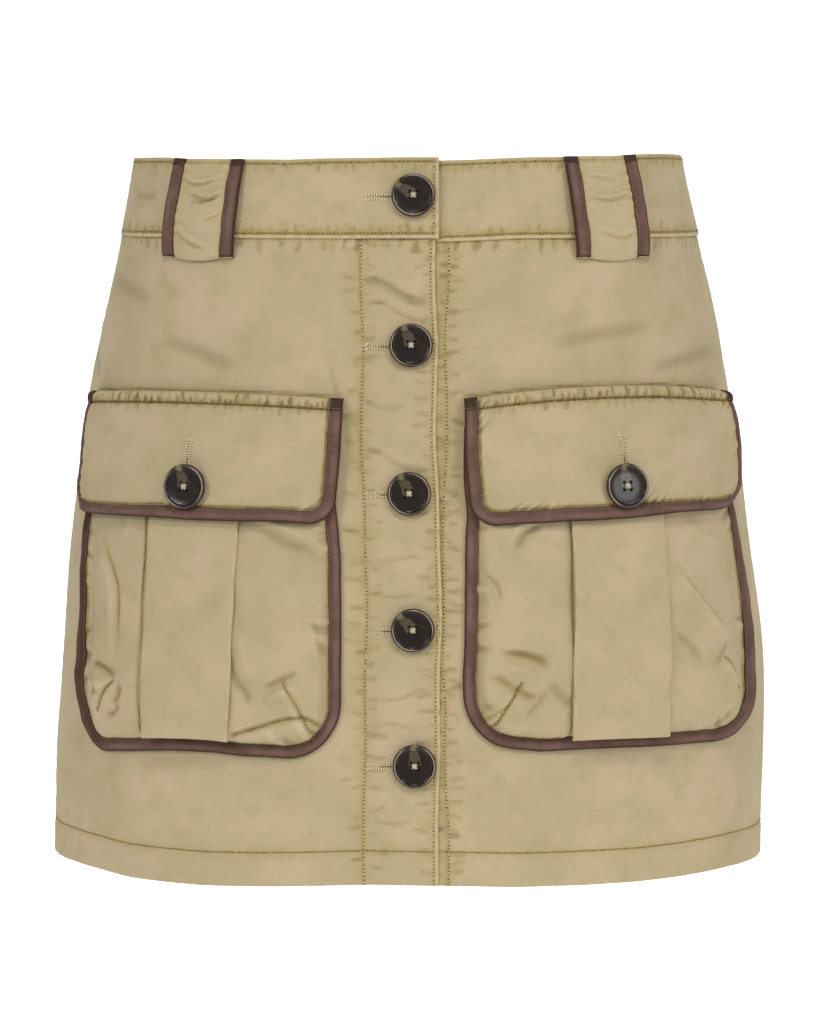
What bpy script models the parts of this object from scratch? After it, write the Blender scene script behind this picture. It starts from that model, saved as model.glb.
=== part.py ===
"""A cargo utility skirt, worn on an unseen figure: a buttoned cotton skirt on a waistband,
with two pleated cargo pockets under buttoned flaps, and wide belt loops.

Every cloth piece is laid out as a maker would, by its arc round the body from the centre front
and its drop below the waistband's top edge. Both are real millimetres, measured on the cloth.
Arcs are positive towards +X, which is the wearer's left. The front faces -Y and +Z is up.
The origin is the middle of the waistband, where the wearer holds the skirt up.
"""

from functools import lru_cache
from math import cos, hypot, pi, radians, sin
from typing import NamedTuple

import bmesh
import bpy
import numpy as np
from mathutils import Matrix, Vector

MM = 0.001

# The skirt's driving sizes, in millimetres.
SKIRT_LENGTH = 380.0
BAND_HEIGHT = 43.0
PANEL_WALL = 1.3
BAND_WALL = 2.2
BAND_PROUD = 1.0
SEAM_GAP = 0.7
WAIST_GAP = 0.4
REST_GAP = 0.7
LAYER_GAP = 0.3

# The closure: the right front laps over the left front.
OVERLAP_EDGE = 14.4
PLACKET_WIDTH = 39.0
UNDERLAP_EDGE = -20.0
PLACKET_PROUD = 0.8
PLACKET_STEP = 2.0

# The cargo pockets: a bag with a box pleat, bound round its sides and bottom.
POCKET_WIDTH = 161.0
POCKET_MOUTH_DROP = 143.0
POCKET_DEEP = 168.5
POCKET_CORNER = 28.0
BAG_WALL = 1.2
BAG_MOUTH_PROUD = 2.8
BAG_FULL_PROUD = 10.5
BAG_FULL_DOWN = 155.0
BINDING_CLEAR = 1.5
BAG_RISE = 6.0
PLEAT_WIDTH = 51.0
PLEAT_LENGTH = 161.7
PLEAT_WALL = 1.2

# The pocket flaps.
FLAP_WIDTH = 160.5
FLAP_HEIGHT = 69.0
FLAP_CORNER = 16.0
FLAP_LEAN = 6.3
FLAP_WALL = 1.5

# The woven tape that binds pockets, flaps and belt loops.
TAPE_WIDTH = 7.0
TAPE_WALL = 1.0
TAPE_CROWN = 0.35

# The belt loops.
LOOP_WIDTH = 41.5
LOOP_LENGTH = 53.0
LOOP_WALL = 1.5
LOOP_TAPE_WIDTH = 7.5

# The buttons.
BUTTON_DIAMETER = 22.9
BUTTON_THICKNESS = 3.4
BUTTON_HOLE_DIAMETER = 2.0
BUTTON_HOLE_SPACING = 3.5
BUTTON_STEPS = 20

# The body's cross-sections are rounder than a box and squarer than an ellipse.
FRONT_SQUARENESS = 2.3
BACK_SQUARENESS = 2.15
RING_SAMPLES = 1441

# Below the waist seam, the folds grow to their full height over this drop.
FOLD_START = 12.0


class Section(NamedTuple):
    """One level of the body: half its width, and its depth in front of and behind the origin."""

    drop: float
    half_width: float
    front_depth: float
    back_depth: float


SECTIONS = (
    Section(drop=0, half_width=148.5, front_depth=94, back_depth=92),
    Section(drop=43, half_width=156.5, front_depth=101, back_depth=99),
    Section(drop=85, half_width=165.5, front_depth=108, back_depth=109),
    Section(drop=127, half_width=174.0, front_depth=114, back_depth=119),
    Section(drop=187, half_width=182.6, front_depth=120, back_depth=129),
    Section(drop=226, half_width=187.3, front_depth=123.5, back_depth=132),
    Section(drop=270, half_width=191.4, front_depth=126.5, back_depth=133),
    Section(drop=305, half_width=193.0, front_depth=128, back_depth=132.5),
    Section(drop=380, half_width=193.8, front_depth=129, back_depth=131.5),
)


class Fold(NamedTuple):
    """A soft ridge, or a trough where its height is negative. Its lean is the angle of its length
    from level, in degrees, and positive where it falls towards +X."""

    arc: float
    drop: float
    length: float
    width: float
    lean: float
    height: float


FOLDS = (
    Fold(arc=-125, drop=80, length=60, width=13, lean=22, height=-1.1),
    Fold(arc=-95, drop=103, length=55, width=12, lean=18, height=-1.0),
    Fold(arc=105, drop=76, length=60, width=13, lean=-16, height=-1.0),
    Fold(arc=120, drop=102, length=55, width=12, lean=-20, height=-1.1),
    Fold(arc=-190, drop=330, length=34, width=12, lean=72, height=-1.2),
    Fold(arc=182, drop=335, length=48, width=14, lean=84, height=1.4),
    Fold(arc=236, drop=275, length=45, width=24, lean=80, height=2.2),
    Fold(arc=330, drop=128, length=70, width=15, lean=-14, height=-1.3),
    Fold(arc=455, drop=140, length=60, width=14, lean=20, height=-1.2),
    Fold(arc=-350, drop=132, length=66, width=15, lean=16, height=-1.3),
    Fold(arc=390, drop=320, length=70, width=18, lean=86, height=1.6),
    Fold(arc=-420, drop=325, length=64, width=17, lean=92, height=1.5),
    Fold(arc=505, drop=300, length=60, width=16, lean=94, height=-1.2),
)


class Pocket(NamedTuple):
    """Where one cargo pocket and its flap are sewn. outward is the sign of the arc away from the
    centre front. The bag may be set lower, and its outer edge lean outwards. The flap has its own
    middle and top, and its top edge bows down towards its two corners."""

    side: str
    outward: int
    bag_arc: float
    bag_lower: float
    outer_lean: float
    pleat_arc: float
    pleat_lean: float
    flap_arc: float
    flap_drop: float
    flap_bow: float


POCKETS = (
    Pocket(side="right", outward=-1, bag_arc=-115.0, bag_lower=1.5, outer_lean=0.5, pleat_arc=-112.5,
           pleat_lean=-3.0, flap_arc=-112.5, flap_drop=121.0, flap_bow=4.0),
    Pocket(side="left", outward=1, bag_arc=109.3, bag_lower=-2.0, outer_lean=14.0, pleat_arc=108.0,
           pleat_lean=0.8, flap_arc=108.5, flap_drop=120.5, flap_bow=6.0),
)


class Loop(NamedTuple):
    """A belt loop: its place, its middle at the top edge, and how far its foot leans from there."""

    place: str
    arc: float
    lean: float


class Button(NamedTuple):
    """A button of the front closure."""

    number: int
    arc: float
    drop: float


BUTTONS = (
    Button(number=1, arc=1.0, drop=20),
    Button(number=2, arc=1.0, drop=98),
    Button(number=3, arc=0.3, drop=176),
    Button(number=4, arc=2.2, drop=246),
    Button(number=5, arc=3.2, drop=316),
)
FLAP_BUTTON_DOWN = 52.5
FLAP_BUTTON_LEAN = 2.6

CLOTH = {"colour": (0.49, 0.40, 0.235, 1.0), "roughness": 0.9}
TAPE = {"colour": (0.125, 0.07, 0.06, 1.0), "roughness": 0.55}
HORN = {"colour": (0.035, 0.022, 0.018, 1.0), "roughness": 0.3}


# ---------------------------------------------------------------- the body that the cloth is on


def smooth_through(knots, values, x):
    """The height at x of a smooth curve through the values at the knots."""
    slopes = np.gradient(values, knots)
    i = int(np.clip(np.searchsorted(knots, x) - 1, 0, len(knots) - 2))
    span = knots[i + 1] - knots[i]
    t = (x - knots[i]) / span
    start = (1 + 2 * t) * (1 - t) ** 2 * values[i] + t * (1 - t) ** 2 * span * slopes[i]
    end = t * t * (3 - 2 * t) * values[i + 1] - t * t * (1 - t) * span * slopes[i + 1]
    return start + end


def ease(x):
    """0 below 0, 1 above 1, and a soft step between."""
    x = min(max(x, 0.0), 1.0)
    return x * x * (3 - 2 * x)


@lru_cache(maxsize=None)
def ring(drop):
    """The body's outline at a drop, from the centre back round the front and back again: its
    arcs from the centre front, and its x and y, in millimetres."""
    knots = [s.drop for s in SECTIONS]
    width = smooth_through(knots, [s.half_width for s in SECTIONS], drop)
    front = smooth_through(knots, [s.front_depth for s in SECTIONS], drop)
    back = smooth_through(knots, [s.back_depth for s in SECTIONS], drop)
    turn = np.linspace(-pi, pi, RING_SAMPLES)
    is_front = np.cos(turn) >= 0
    power = 2 / np.where(is_front, FRONT_SQUARENESS, BACK_SQUARENESS)
    x = width * np.sign(np.sin(turn)) * np.abs(np.sin(turn)) ** power
    y = np.where(is_front, -front, back) * np.abs(np.cos(turn)) ** power
    arc = np.concatenate([[0], np.cumsum(np.hypot(np.diff(x), np.diff(y)))])
    return arc - np.interp(0, turn, arc), x, y


def half_girth(drop):
    """The arc from the centre front to the centre back."""
    return ring(drop)[0][-1]


def side_arc(drop):
    """The arc from the centre front to the side seam."""
    arc, x, _ = ring(drop)
    return float(arc[int(np.argmax(x))])


def bare_point(arc, drop):
    """A point of the body, with no folds in it."""
    level = min(max(drop, 0.0), SKIRT_LENGTH)
    arcs, x, y = ring(level)
    return np.array([np.interp(arc, arcs, x), np.interp(arc, arcs, y), BAND_HEIGHT / 2 - drop])


def fold_height(arc, drop):
    """How far the folds raise the cloth there."""
    total = 0.0
    for fold in FOLDS:
        lean = radians(fold.lean)
        along = (arc - fold.arc) * cos(lean) + (drop - fold.drop) * sin(lean)
        across = (drop - fold.drop) * cos(lean) - (arc - fold.arc) * sin(lean)
        total += fold.height * np.exp(-((along / fold.length) ** 2) - (across / fold.width) ** 2)
    return total * ease((drop - BAND_HEIGHT) / FOLD_START)


def outward(arc, drop):
    """The direction out of the cloth."""
    step = 1.0
    round_body = bare_point(arc + step, drop) - bare_point(arc - step, drop)
    down_body = bare_point(arc, drop + step) - bare_point(arc, drop - step)
    normal = np.cross(down_body, round_body)
    return normal / np.linalg.norm(normal)


def cloth_point(arc, drop, out):
    """The point that lies a height out of the skirt's cloth, in metres."""
    point = bare_point(arc, drop) + outward(arc, drop) * (fold_height(arc, drop) + out)
    return Vector(point * MM)


# ---------------------------------------------------------------- how a piece is made


def material(name, look):
    made = bpy.data.materials.new(name)
    made.use_nodes = True
    shader = made.node_tree.nodes["Principled BSDF"]
    shader.inputs["Base Color"].default_value = look["colour"]
    shader.inputs["Roughness"].default_value = look["roughness"]
    made.diffuse_color = look["colour"]
    return made


def cloth_piece(name, columns, rows, place, wall, finish):
    """A cut piece of cloth. It is a grid, one line for each of the columns, from -X to +X, and
    of the rows, from the top down. place(column, row) gives each point of its outer face, and
    the wall's thickness lies behind it."""
    across, down = len(columns) - 1, len(rows) - 1
    mesh = bpy.data.meshes.new(name)
    form = bmesh.new()
    bmesh.ops.create_grid(form, x_segments=across, y_segments=down, size=0.5)
    for vertex in form.verts:
        column = round((vertex.co.x + 0.5) * across)
        row = round((0.5 - vertex.co.y) * down)
        vertex.co = place(columns[column], rows[row])
    form.to_mesh(mesh)
    form.free()
    mesh.shade_smooth()
    mesh.materials.append(finish)
    piece = bpy.data.objects.new(name, mesh)
    skirt.objects.link(piece)
    thickness = piece.modifiers.new("Cloth wall", "SOLIDIFY")
    thickness.thickness = wall * MM
    thickness.offset = -1
    thickness.use_even_offset = True
    return piece


def spaced(start, end, most_step):
    """Even positions from start to end, no further apart than the step."""
    return list(np.linspace(start, end, int(np.ceil(abs(end - start) / most_step)) + 1))


# ---------------------------------------------------------------- panels and waistband

PANEL_COLUMN = 15.0
PANEL_ROW = 22.5
FLARE_START = 30.0
BAND_ROWS = [0.0, BAND_HEIGHT / 2, BAND_HEIGHT]


def front_layer(arc, side):
    """How far the closure lifts the right front, or sets the left front back."""
    stitch = OVERLAP_EDGE - PLACKET_WIDTH
    if side == "right":
        return PLACKET_PROUD * ease((arc - stitch + PLACKET_STEP) / PLACKET_STEP)
    behind = PANEL_WALL - PLACKET_PROUD + LAYER_GAP
    return -behind * ease((OVERLAP_EDGE + 3 * PLACKET_STEP - arc) / (2 * PLACKET_STEP))


def front_arcs(side):
    """The front's columns, as arcs at the hem, from the side seam to its front edge. An arc of
    the outer part is scaled with the body's girth, so its columns flare like the cloth."""
    seam = side_arc(SKIRT_LENGTH) - SEAM_GAP / 2
    stitch = OVERLAP_EDGE - PLACKET_WIDTH
    if side == "right":
        inner = [stitch - PLACKET_STEP, stitch, *spaced(stitch, OVERLAP_EDGE, PANEL_COLUMN)[1:]]
        return spaced(-seam, stitch - PLACKET_STEP, PANEL_COLUMN)[:-1] + inner
    edge = OVERLAP_EDGE + 3 * PLACKET_STEP
    inner = [*spaced(UNDERLAP_EDGE, edge - 2 * PLACKET_STEP, PANEL_COLUMN), edge]
    return inner + spaced(edge, seam, PANEL_COLUMN)[1:]


def flared(arc, drop):
    """A hem arc brought up to its drop: true near the closure, and in the girth's proportion by
    the side seam, where the panels meet."""
    hem_seam = side_arc(SKIRT_LENGTH)
    share = ease((abs(arc) - FLARE_START) / (hem_seam - FLARE_START))
    return arc * (1 + share * (side_arc(drop) / hem_seam - 1))


def make_front(side, finish):
    columns = front_arcs(side)
    rows = spaced(BAND_HEIGHT + WAIST_GAP, SKIRT_LENGTH, PANEL_ROW)

    def place(column, row):
        arc = flared(column, row)
        return cloth_point(arc, row, front_layer(arc, side))

    cloth_piece(f"front_{side}", columns, rows, place, PANEL_WALL, finish)


def make_back(finish):
    """The back is one panel, from the wearer's left side seam round to the right one."""
    columns = spaced(0.0, 1.0, PANEL_COLUMN / (2 * (half_girth(SKIRT_LENGTH) - side_arc(SKIRT_LENGTH))))
    rows = spaced(BAND_HEIGHT + WAIST_GAP, SKIRT_LENGTH, PANEL_ROW)
    cloth_piece("back", columns, rows, lambda c, r: back_point(c, r, 0.0), PANEL_WALL, finish)


def back_point(share, drop, out):
    """A point of the back, a share of the way from the left side seam to the right one."""
    start = side_arc(drop) + SEAM_GAP / 2
    end = 2 * half_girth(drop) - start
    arc = start + share * (end - start)
    if arc > half_girth(drop):
        arc -= 2 * half_girth(drop)
    return cloth_point(arc, drop, out)


def make_waistband(finish):
    """The waistband's front ends lap as the fronts do, and its back runs from seam to seam."""
    for side in ("right", "left"):
        columns = front_arcs(side)

        def place(column, row, side=side):
            arc = flared(column, row)
            lap = front_layer(arc, side) * BAND_WALL / PANEL_WALL
            return cloth_point(arc, row, BAND_PROUD + lap)

        cloth_piece(f"waistband_front_{side}", columns, BAND_ROWS, place, BAND_WALL, finish)
    columns = spaced(0.0, 1.0, 1 / 26)
    cloth_piece("waistband_back", columns, BAND_ROWS,
                lambda c, r: back_point(c, r, BAND_PROUD), BAND_WALL, finish)


# ---------------------------------------------------------------- cargo pockets


def bag_half_width(down, deep, half_width, corner):
    """Half the width of a shape whose two lower corners are round, at a depth below its top."""
    into_corner = down - (deep - corner)
    if into_corner <= 0:
        return half_width
    return half_width - corner + (max(corner**2 - into_corner**2, 0.0)) ** 0.5


def edge_distance(across, down, deep, half_width, corner):
    """How far a point is inside the round-cornered edge. The top isn't an edge."""
    x, y = abs(across) - (half_width - corner), down - (deep - corner)
    if x > 0 and y > 0:
        return corner - hypot(x, y)
    return min(half_width - abs(across), deep - down)


def bag_proud(across, down):
    """The outer face of the bag's cloth. It lies flat under its binding, and stands fuller
    towards the bottom, where the corner darts give it room."""
    inside = edge_distance(across, down, POCKET_DEEP, POCKET_WIDTH / 2, POCKET_CORNER)
    flat = REST_GAP + BAG_WALL
    full = BAG_MOUTH_PROUD + (BAG_FULL_PROUD - BAG_MOUTH_PROUD) * ease(down / BAG_FULL_DOWN)
    return flat + (full - flat) * ease((inside - TAPE_WIDTH - BINDING_CLEAR) / BAG_RISE)


def pocket_point(pocket, across, down, out):
    """A place on the pocket, across from the bag's middle and down from its mouth."""
    share = max(across * pocket.outward / (POCKET_WIDTH / 2), 0.0)
    lean = pocket.outer_lean * share**2 * ease(down / (0.75 * POCKET_DEEP)) * pocket.outward
    drop = POCKET_MOUTH_DROP + pocket.bag_lower + down
    return cloth_point(pocket.bag_arc + across + lean, drop, out)


def round_corner_rows(top, bottom, corner, step):
    """Rows down a round-cornered shape: even ones, then ones at even turns round the corner."""
    turns = [bottom - corner + corner * sin(radians(a)) for a in (30, 50, 66, 79, 90)]
    return spaced(top, bottom - corner, step) + turns


def make_bag(pocket, cloth):
    half = POCKET_WIDTH / 2
    rise = TAPE_WIDTH + BINDING_CLEAR
    inner = [rise, rise + BAG_RISE / 2, rise + BAG_RISE]
    left = [-1.0] + [-(half - edge) / half for edge in inner]
    columns = left + spaced(left[-1], -left[-1], 13.0 / half)[1:-1] + [-c for c in reversed(left)]
    rows = round_corner_rows(0.0, POCKET_DEEP, POCKET_CORNER, 18.0)
    rows = sorted(set(rows) | {POCKET_DEEP - rise, POCKET_DEEP - rise - BAG_RISE / 2})

    def place(share, down):
        across = share * bag_half_width(down, POCKET_DEEP, half, POCKET_CORNER)
        return pocket_point(pocket, across, down, bag_proud(across, down))

    cloth_piece(f"pocket_bag_{pocket.side}", columns, rows, place, BAG_WALL, cloth)


def make_pleat(pocket, cloth):
    """The box pleat's face, a fold that lies on the bag with sharp edges. It keeps its height
    to the bottom, where its open end stands over the binding."""
    hang = POCKET_DEEP - TAPE_WIDTH - BINDING_CLEAR - BAG_RISE

    def place(across, down):
        bag = bag_proud(0.0, min(down, hang))
        middle = pocket.pleat_arc - pocket.bag_arc + pocket.pleat_lean * down / POCKET_DEEP
        return pocket_point(pocket, middle + across, down, bag + REST_GAP / 2 + PLEAT_WALL)

    columns = spaced(-PLEAT_WIDTH / 2, PLEAT_WIDTH / 2, 13.0)
    cloth_piece(f"pocket_pleat_{pocket.side}", columns, spaced(0.5, PLEAT_LENGTH, 15.0), place,
                PLEAT_WALL, cloth)


class Stop(NamedTuple):
    """A place on the edge of a round-cornered shape, and the way out of the shape there."""

    across: float
    down: float
    out_across: float
    out_down: float


def edge_stops(downs, deep, half_width, corner, step):
    """The edge of a round-cornered shape: down its -X side, along its bottom and up its +X side."""
    sides = [Stop(-half_width, down, -1, 0) for down in downs]
    turns = [radians(a) for a in (18, 36, 54, 72, 90)]
    corners = [
        Stop(-(half_width - corner) - corner * cos(a), deep - corner + corner * sin(a), -cos(a), sin(a))
        for a in turns
    ]
    bottom = [Stop(x, deep, 0, 1) for x in spaced(-(half_width - corner), 0, step)[1:-1]]
    half = sides + corners + bottom
    mirrored = [Stop(-s.across, s.down, -s.out_across, s.out_down) for s in reversed(half)]
    return half + [Stop(0, deep, 0, 1)] + mirrored


def make_tape(name, stops, width, place, finish):
    """A binding tape along an edge. Its outer side is on the stops, and its middle is crowned.
    place(across, down, height above the bound cloth) gives its points."""
    across_tape = [0.0, 0.5, 1.0]

    def tape_place(stop, share):
        inwards = share * width
        crown = TAPE_CROWN * (1 - abs(2 * share - 1))
        across = stop.across - stop.out_across * inwards
        down = stop.down - stop.out_down * inwards
        return place(across, down, REST_GAP / 2 + TAPE_WALL + crown)

    cloth_piece(name, stops, across_tape, tape_place, TAPE_WALL, finish)


def make_pocket_binding(pocket, tape):
    downs = spaced(0.0, POCKET_DEEP - POCKET_CORNER, 18.0)
    stops = edge_stops(downs, POCKET_DEEP, POCKET_WIDTH / 2, POCKET_CORNER, 15.0)

    def place(across, down, height):
        return pocket_point(pocket, across, down, REST_GAP + BAG_WALL + height)

    # The stops run from -X down, along and up, so the tape's rows have to run inwards.
    make_tape(f"pocket_binding_{pocket.side}", stops[::-1], TAPE_WIDTH - LAYER_GAP, place, tape)


# ---------------------------------------------------------------- pocket flaps

# The flap's outer face, from its rolled top edge down to its hem: over the middle, and at its
# two sides, where it comes closer to the skirt.
FLAP_DOWN = [0.0, 2.5, 6.5, 18.0, 40.0, 69.0]
FLAP_MIDDLE_PROUD = [1.9, 5.0, 4.7, 7.1, 9.0, 10.2]
FLAP_SIDE_PROUD = [1.9, 4.7, 4.6, 6.4, 6.9, 7.3]

# The tape stands this much further off the steep start of the roll.
OVER_ROLL = 1.5


def flap_proud(across, down):
    middle = np.interp(down, FLAP_DOWN, FLAP_MIDDLE_PROUD)
    side = np.interp(down, FLAP_DOWN, FLAP_SIDE_PROUD)
    share = ease((abs(across) - PLEAT_WIDTH / 2 - 6) / (FLAP_WIDTH / 2 - PLEAT_WIDTH / 2 - 6))
    return middle + (side - middle) * share


def flap_point(pocket, across, down, out):
    """A place on the flap, across from its middle and down from its top. It leans outwards."""
    lean = FLAP_LEAN * pocket.outward * down / FLAP_HEIGHT
    bow = pocket.flap_bow * (across / (FLAP_WIDTH / 2)) ** 2 * (1 - down / FLAP_HEIGHT)
    return cloth_point(pocket.flap_arc + across + lean, pocket.flap_drop + down + bow, out)


def make_flap(pocket, cloth, tape):
    half = FLAP_WIDTH / 2
    columns = spaced(-1.0, 1.0, 12.5 / half)
    top_rows = [0.0, 2.5, 6.5, 12.0]
    rows = top_rows + round_corner_rows(18.0, FLAP_HEIGHT, FLAP_CORNER, 14.0)

    def place(share, down):
        across = share * bag_half_width(down, FLAP_HEIGHT, half, FLAP_CORNER)
        return flap_point(pocket, across, down, flap_proud(across, down))

    cloth_piece(f"flap_{pocket.side}", columns, rows, place, FLAP_WALL, cloth)

    def on_flap(across, down, height):
        over_roll = OVER_ROLL * max(1 - down / FLAP_DOWN[1], 0.0)
        return flap_point(pocket, across, down, flap_proud(across, down) + height + over_roll)

    downs = top_rows + spaced(18.0, FLAP_HEIGHT - FLAP_CORNER, 14.0)
    stops = edge_stops(downs, FLAP_HEIGHT, half, FLAP_CORNER, 12.5)
    make_tape(f"flap_binding_{pocket.side}", stops[::-1], TAPE_WIDTH, on_flap, tape)


# ---------------------------------------------------------------- belt loops

# How far the loop's inner face stands off the body, down its length: sewn to the waistband's
# top edge, clear of the band in the middle for a belt, and sewn to the skirt at its foot.
LOOP_DOWN = [0.3, 6.0, 15.0, 28.0, 40.0, 48.0, 53.0]
LOOP_INNER = [1.5, 2.0, 3.3, 3.8, 3.5, 2.4, 0.6]


def make_loop(loop, cloth, tape):
    half = LOOP_WIDTH / 2

    def place(across, down, height=0.0):
        arc = loop.arc + across + loop.lean * down / LOOP_LENGTH
        return cloth_point(arc, down, np.interp(down, LOOP_DOWN, LOOP_INNER) + LOOP_WALL + height)

    columns = spaced(-half, half, 11.0)
    cloth_piece(f"belt_loop_{loop.place}", columns, LOOP_DOWN, place, LOOP_WALL, cloth)
    for edge, start in (("a", -half), ("b", half - LOOP_TAPE_WIDTH)):
        tape_columns = [start, start + LOOP_TAPE_WIDTH / 2, start + LOOP_TAPE_WIDTH]

        def tape_place(across, down, start=start):
            share = (across - start) / LOOP_TAPE_WIDTH
            crown = TAPE_CROWN * (1 - abs(2 * share - 1))
            return place(across, down, LAYER_GAP + TAPE_WALL + crown)

        cloth_piece(f"belt_loop_{loop.place}_tape_{edge}", tape_columns, LOOP_DOWN, tape_place,
                    TAPE_WALL, tape)


# ---------------------------------------------------------------- buttons


def button_profile(finish):
    """Half the section of a button: a raised rim round a shallow dish, and a domed back."""
    radius, thick = BUTTON_DIAMETER / 2 * MM, BUTTON_THICKNESS * MM
    section = [
        (0.0, 0.70 * thick),
        (0.78 * radius, 0.74 * thick),
        (0.84 * radius, 0.97 * thick),
        (0.90 * radius, thick),
        (0.97 * radius, 0.80 * thick),
        (radius, 0.50 * thick),
        (0.92 * radius, 0.12 * thick),
        (0.70 * radius, 0.0),
        (0.0, 0.0),
    ]
    mesh = bpy.data.meshes.new("button_profile")
    edges = [(i, i + 1) for i in range(len(section) - 1)]
    mesh.from_pydata([(x, 0.0, z) for x, z in section], edges, [])
    mesh.materials.append(finish)
    return mesh


def hole_cutter():
    """Four drills in one object, through the button's middle."""
    form = bmesh.new()
    for turn in range(4):
        angle = radians(45 + 90 * turn)
        reach = BUTTON_HOLE_SPACING / 2**0.5 * MM
        place = Matrix.Translation((reach * cos(angle), reach * sin(angle), BUTTON_THICKNESS / 2 * MM))
        bmesh.ops.create_cone(form, cap_ends=True, segments=8, radius1=BUTTON_HOLE_DIAMETER / 2 * MM,
                              radius2=BUTTON_HOLE_DIAMETER / 2 * MM, depth=3 * BUTTON_THICKNESS * MM,
                              matrix=place)
    mesh = bpy.data.meshes.new("button_drills")
    form.to_mesh(mesh)
    form.free()
    drills = bpy.data.objects.new("button_drills", mesh)
    cutters.objects.link(drills)
    drills.hide_render = True
    drills.display_type = "WIRE"
    return drills


def sew_button(name, profile, drills, arc, drop, out):
    """A button flat against the cloth, its dish facing out and its four holes drilled."""
    facing = Vector(outward(arc, drop))
    across = Vector((0, 0, 1)).cross(facing).normalized()
    up = facing.cross(across)
    button = bpy.data.objects.new(name, profile)
    skirt.objects.link(button)
    turn = Matrix((across, up, facing)).transposed().to_4x4()
    button.matrix_world = Matrix.Translation(cloth_point(arc, drop, out)) @ turn
    turned = button.modifiers.new("Turned", "SCREW")
    turned.steps = turned.render_steps = BUTTON_STEPS
    turned.use_merge_vertices = True
    turned.merge_threshold = 1e-6
    drill = drills.copy()
    drill.matrix_world = button.matrix_world
    cutters.objects.link(drill)
    cut = button.modifiers.new("Holes", "BOOLEAN")
    cut.operation = "DIFFERENCE"
    cut.object = drill


def make_buttons(horn):
    profile, drills = button_profile(horn), hole_cutter()
    for button in BUTTONS:
        on_band = button.drop < BAND_HEIGHT
        cloth = BAND_PROUD + PLACKET_PROUD * BAND_WALL / PANEL_WALL if on_band else PLACKET_PROUD
        sew_button(f"button_{button.number}", profile, drills, button.arc, button.drop, cloth + REST_GAP)
    for pocket in POCKETS:
        # The button's lower rim rests on the flap's binding.
        out = flap_proud(0.0, FLAP_BUTTON_DOWN) + LAYER_GAP + TAPE_WALL + TAPE_CROWN
        sew_button(f"flap_button_{pocket.side}", profile, drills,
                   pocket.flap_arc + FLAP_BUTTON_LEAN * pocket.outward,
                   pocket.flap_drop + FLAP_BUTTON_DOWN, out + LAYER_GAP)


# ---------------------------------------------------------------- the skirt

for old in list(bpy.data.objects):
    bpy.data.objects.remove(old)
skirt = bpy.data.collections.new("cargo_skirt")
cutters = bpy.data.collections.new("cutters")
bpy.context.scene.collection.children.link(skirt)
bpy.context.scene.collection.children.link(cutters)

twill = material("cotton_twill", CLOTH)
binding = material("binding_tape", TAPE)
horn = material("horn_button", HORN)

for side in ("right", "left"):
    make_front(side, twill)
make_back(twill)
make_waistband(twill)
for pocket in POCKETS:
    make_bag(pocket, twill)
    make_pleat(pocket, twill)
    make_pocket_binding(pocket, binding)
    make_flap(pocket, twill, binding)

back_loop_arc = half_girth(0) - 100.0
for loop in (
    Loop(place="front_right", arc=-108.0, lean=-6.5),
    Loop(place="front_left", arc=102.5, lean=8.0),
    Loop(place="back_right", arc=-back_loop_arc, lean=-5.0),
    Loop(place="back_left", arc=back_loop_arc, lean=5.0),
):
    make_loop(loop, twill, binding)
make_buttons(horn)
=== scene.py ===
"""A cargo utility skirt of garment-dyed cotton twill, hollow as it is worn.

Every cloth piece is laid out as its maker would cut and sew it, by its arc round the body from
the centre front and its drop below the waistband's top edge. Both are millimetres on the cloth.
Arcs are positive towards +X, the wearer's left. The front faces -Y and +Z is up.
"""

from math import ceil, cos, pi, radians, sin

import bmesh
import bpy
import numpy as np
from mathutils import Matrix, Vector


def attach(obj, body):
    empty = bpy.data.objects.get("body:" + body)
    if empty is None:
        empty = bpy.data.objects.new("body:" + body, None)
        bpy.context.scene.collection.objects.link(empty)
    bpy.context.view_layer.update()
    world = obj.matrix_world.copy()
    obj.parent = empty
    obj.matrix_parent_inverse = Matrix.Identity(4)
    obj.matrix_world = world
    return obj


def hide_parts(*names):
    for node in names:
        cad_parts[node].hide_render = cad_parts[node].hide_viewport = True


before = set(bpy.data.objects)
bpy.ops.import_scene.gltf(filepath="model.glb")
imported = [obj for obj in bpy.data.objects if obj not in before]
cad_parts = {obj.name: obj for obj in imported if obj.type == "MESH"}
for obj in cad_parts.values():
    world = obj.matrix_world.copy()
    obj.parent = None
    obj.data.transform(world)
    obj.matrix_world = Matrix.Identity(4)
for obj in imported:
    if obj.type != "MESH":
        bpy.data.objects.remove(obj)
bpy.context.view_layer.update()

# ------------------------------------------------------------------------------ front panels
# The skirt hangs from the waist over the hips. Its two front panels are cut from mid-weight
# twill, and the wearer's right one laps over the left in a 39 mm placket, stitched along both
# of its edges. Garment dye has gathered in the seams, their lines and hollows are painted in
# shade, and their puckers are rubbed pale, which also paints their highlights.

SKIRT_LENGTH = 380.0
BAND_HEIGHT = 43.0
PANEL_WALL = 1.3
OVERLAP_EDGE = 14.4
UNDERLAP_EDGE = -20.0
PLACKET_WIDTH = 39.0
PLACKET_STITCH = OVERLAP_EDGE - PLACKET_WIDTH
PLACKET_PROUD = 0.8
PLACKET_STEP = 2.0
HEM_STITCH = 362.0
LAP_STITCH = OVERLAP_EDGE - 2.3
UNDERLAP_STITCH = 20.0

# Levels of the body: drop, half width, depth in front and depth behind.
BODY = np.array([
    (0, 148.5, 94, 92), (43, 156.5, 101, 99), (85, 165.5, 108, 109),
    (127, 174, 114, 119), (187, 182.6, 120, 129), (226, 187.3, 123.5, 132),
    (270, 191.4, 126.5, 133), (305, 193, 128, 132.5), (380, 193.8, 129, 131.5),
])
FRONT_SQUARENESS, BACK_SQUARENESS = 2.3, 2.15

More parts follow.
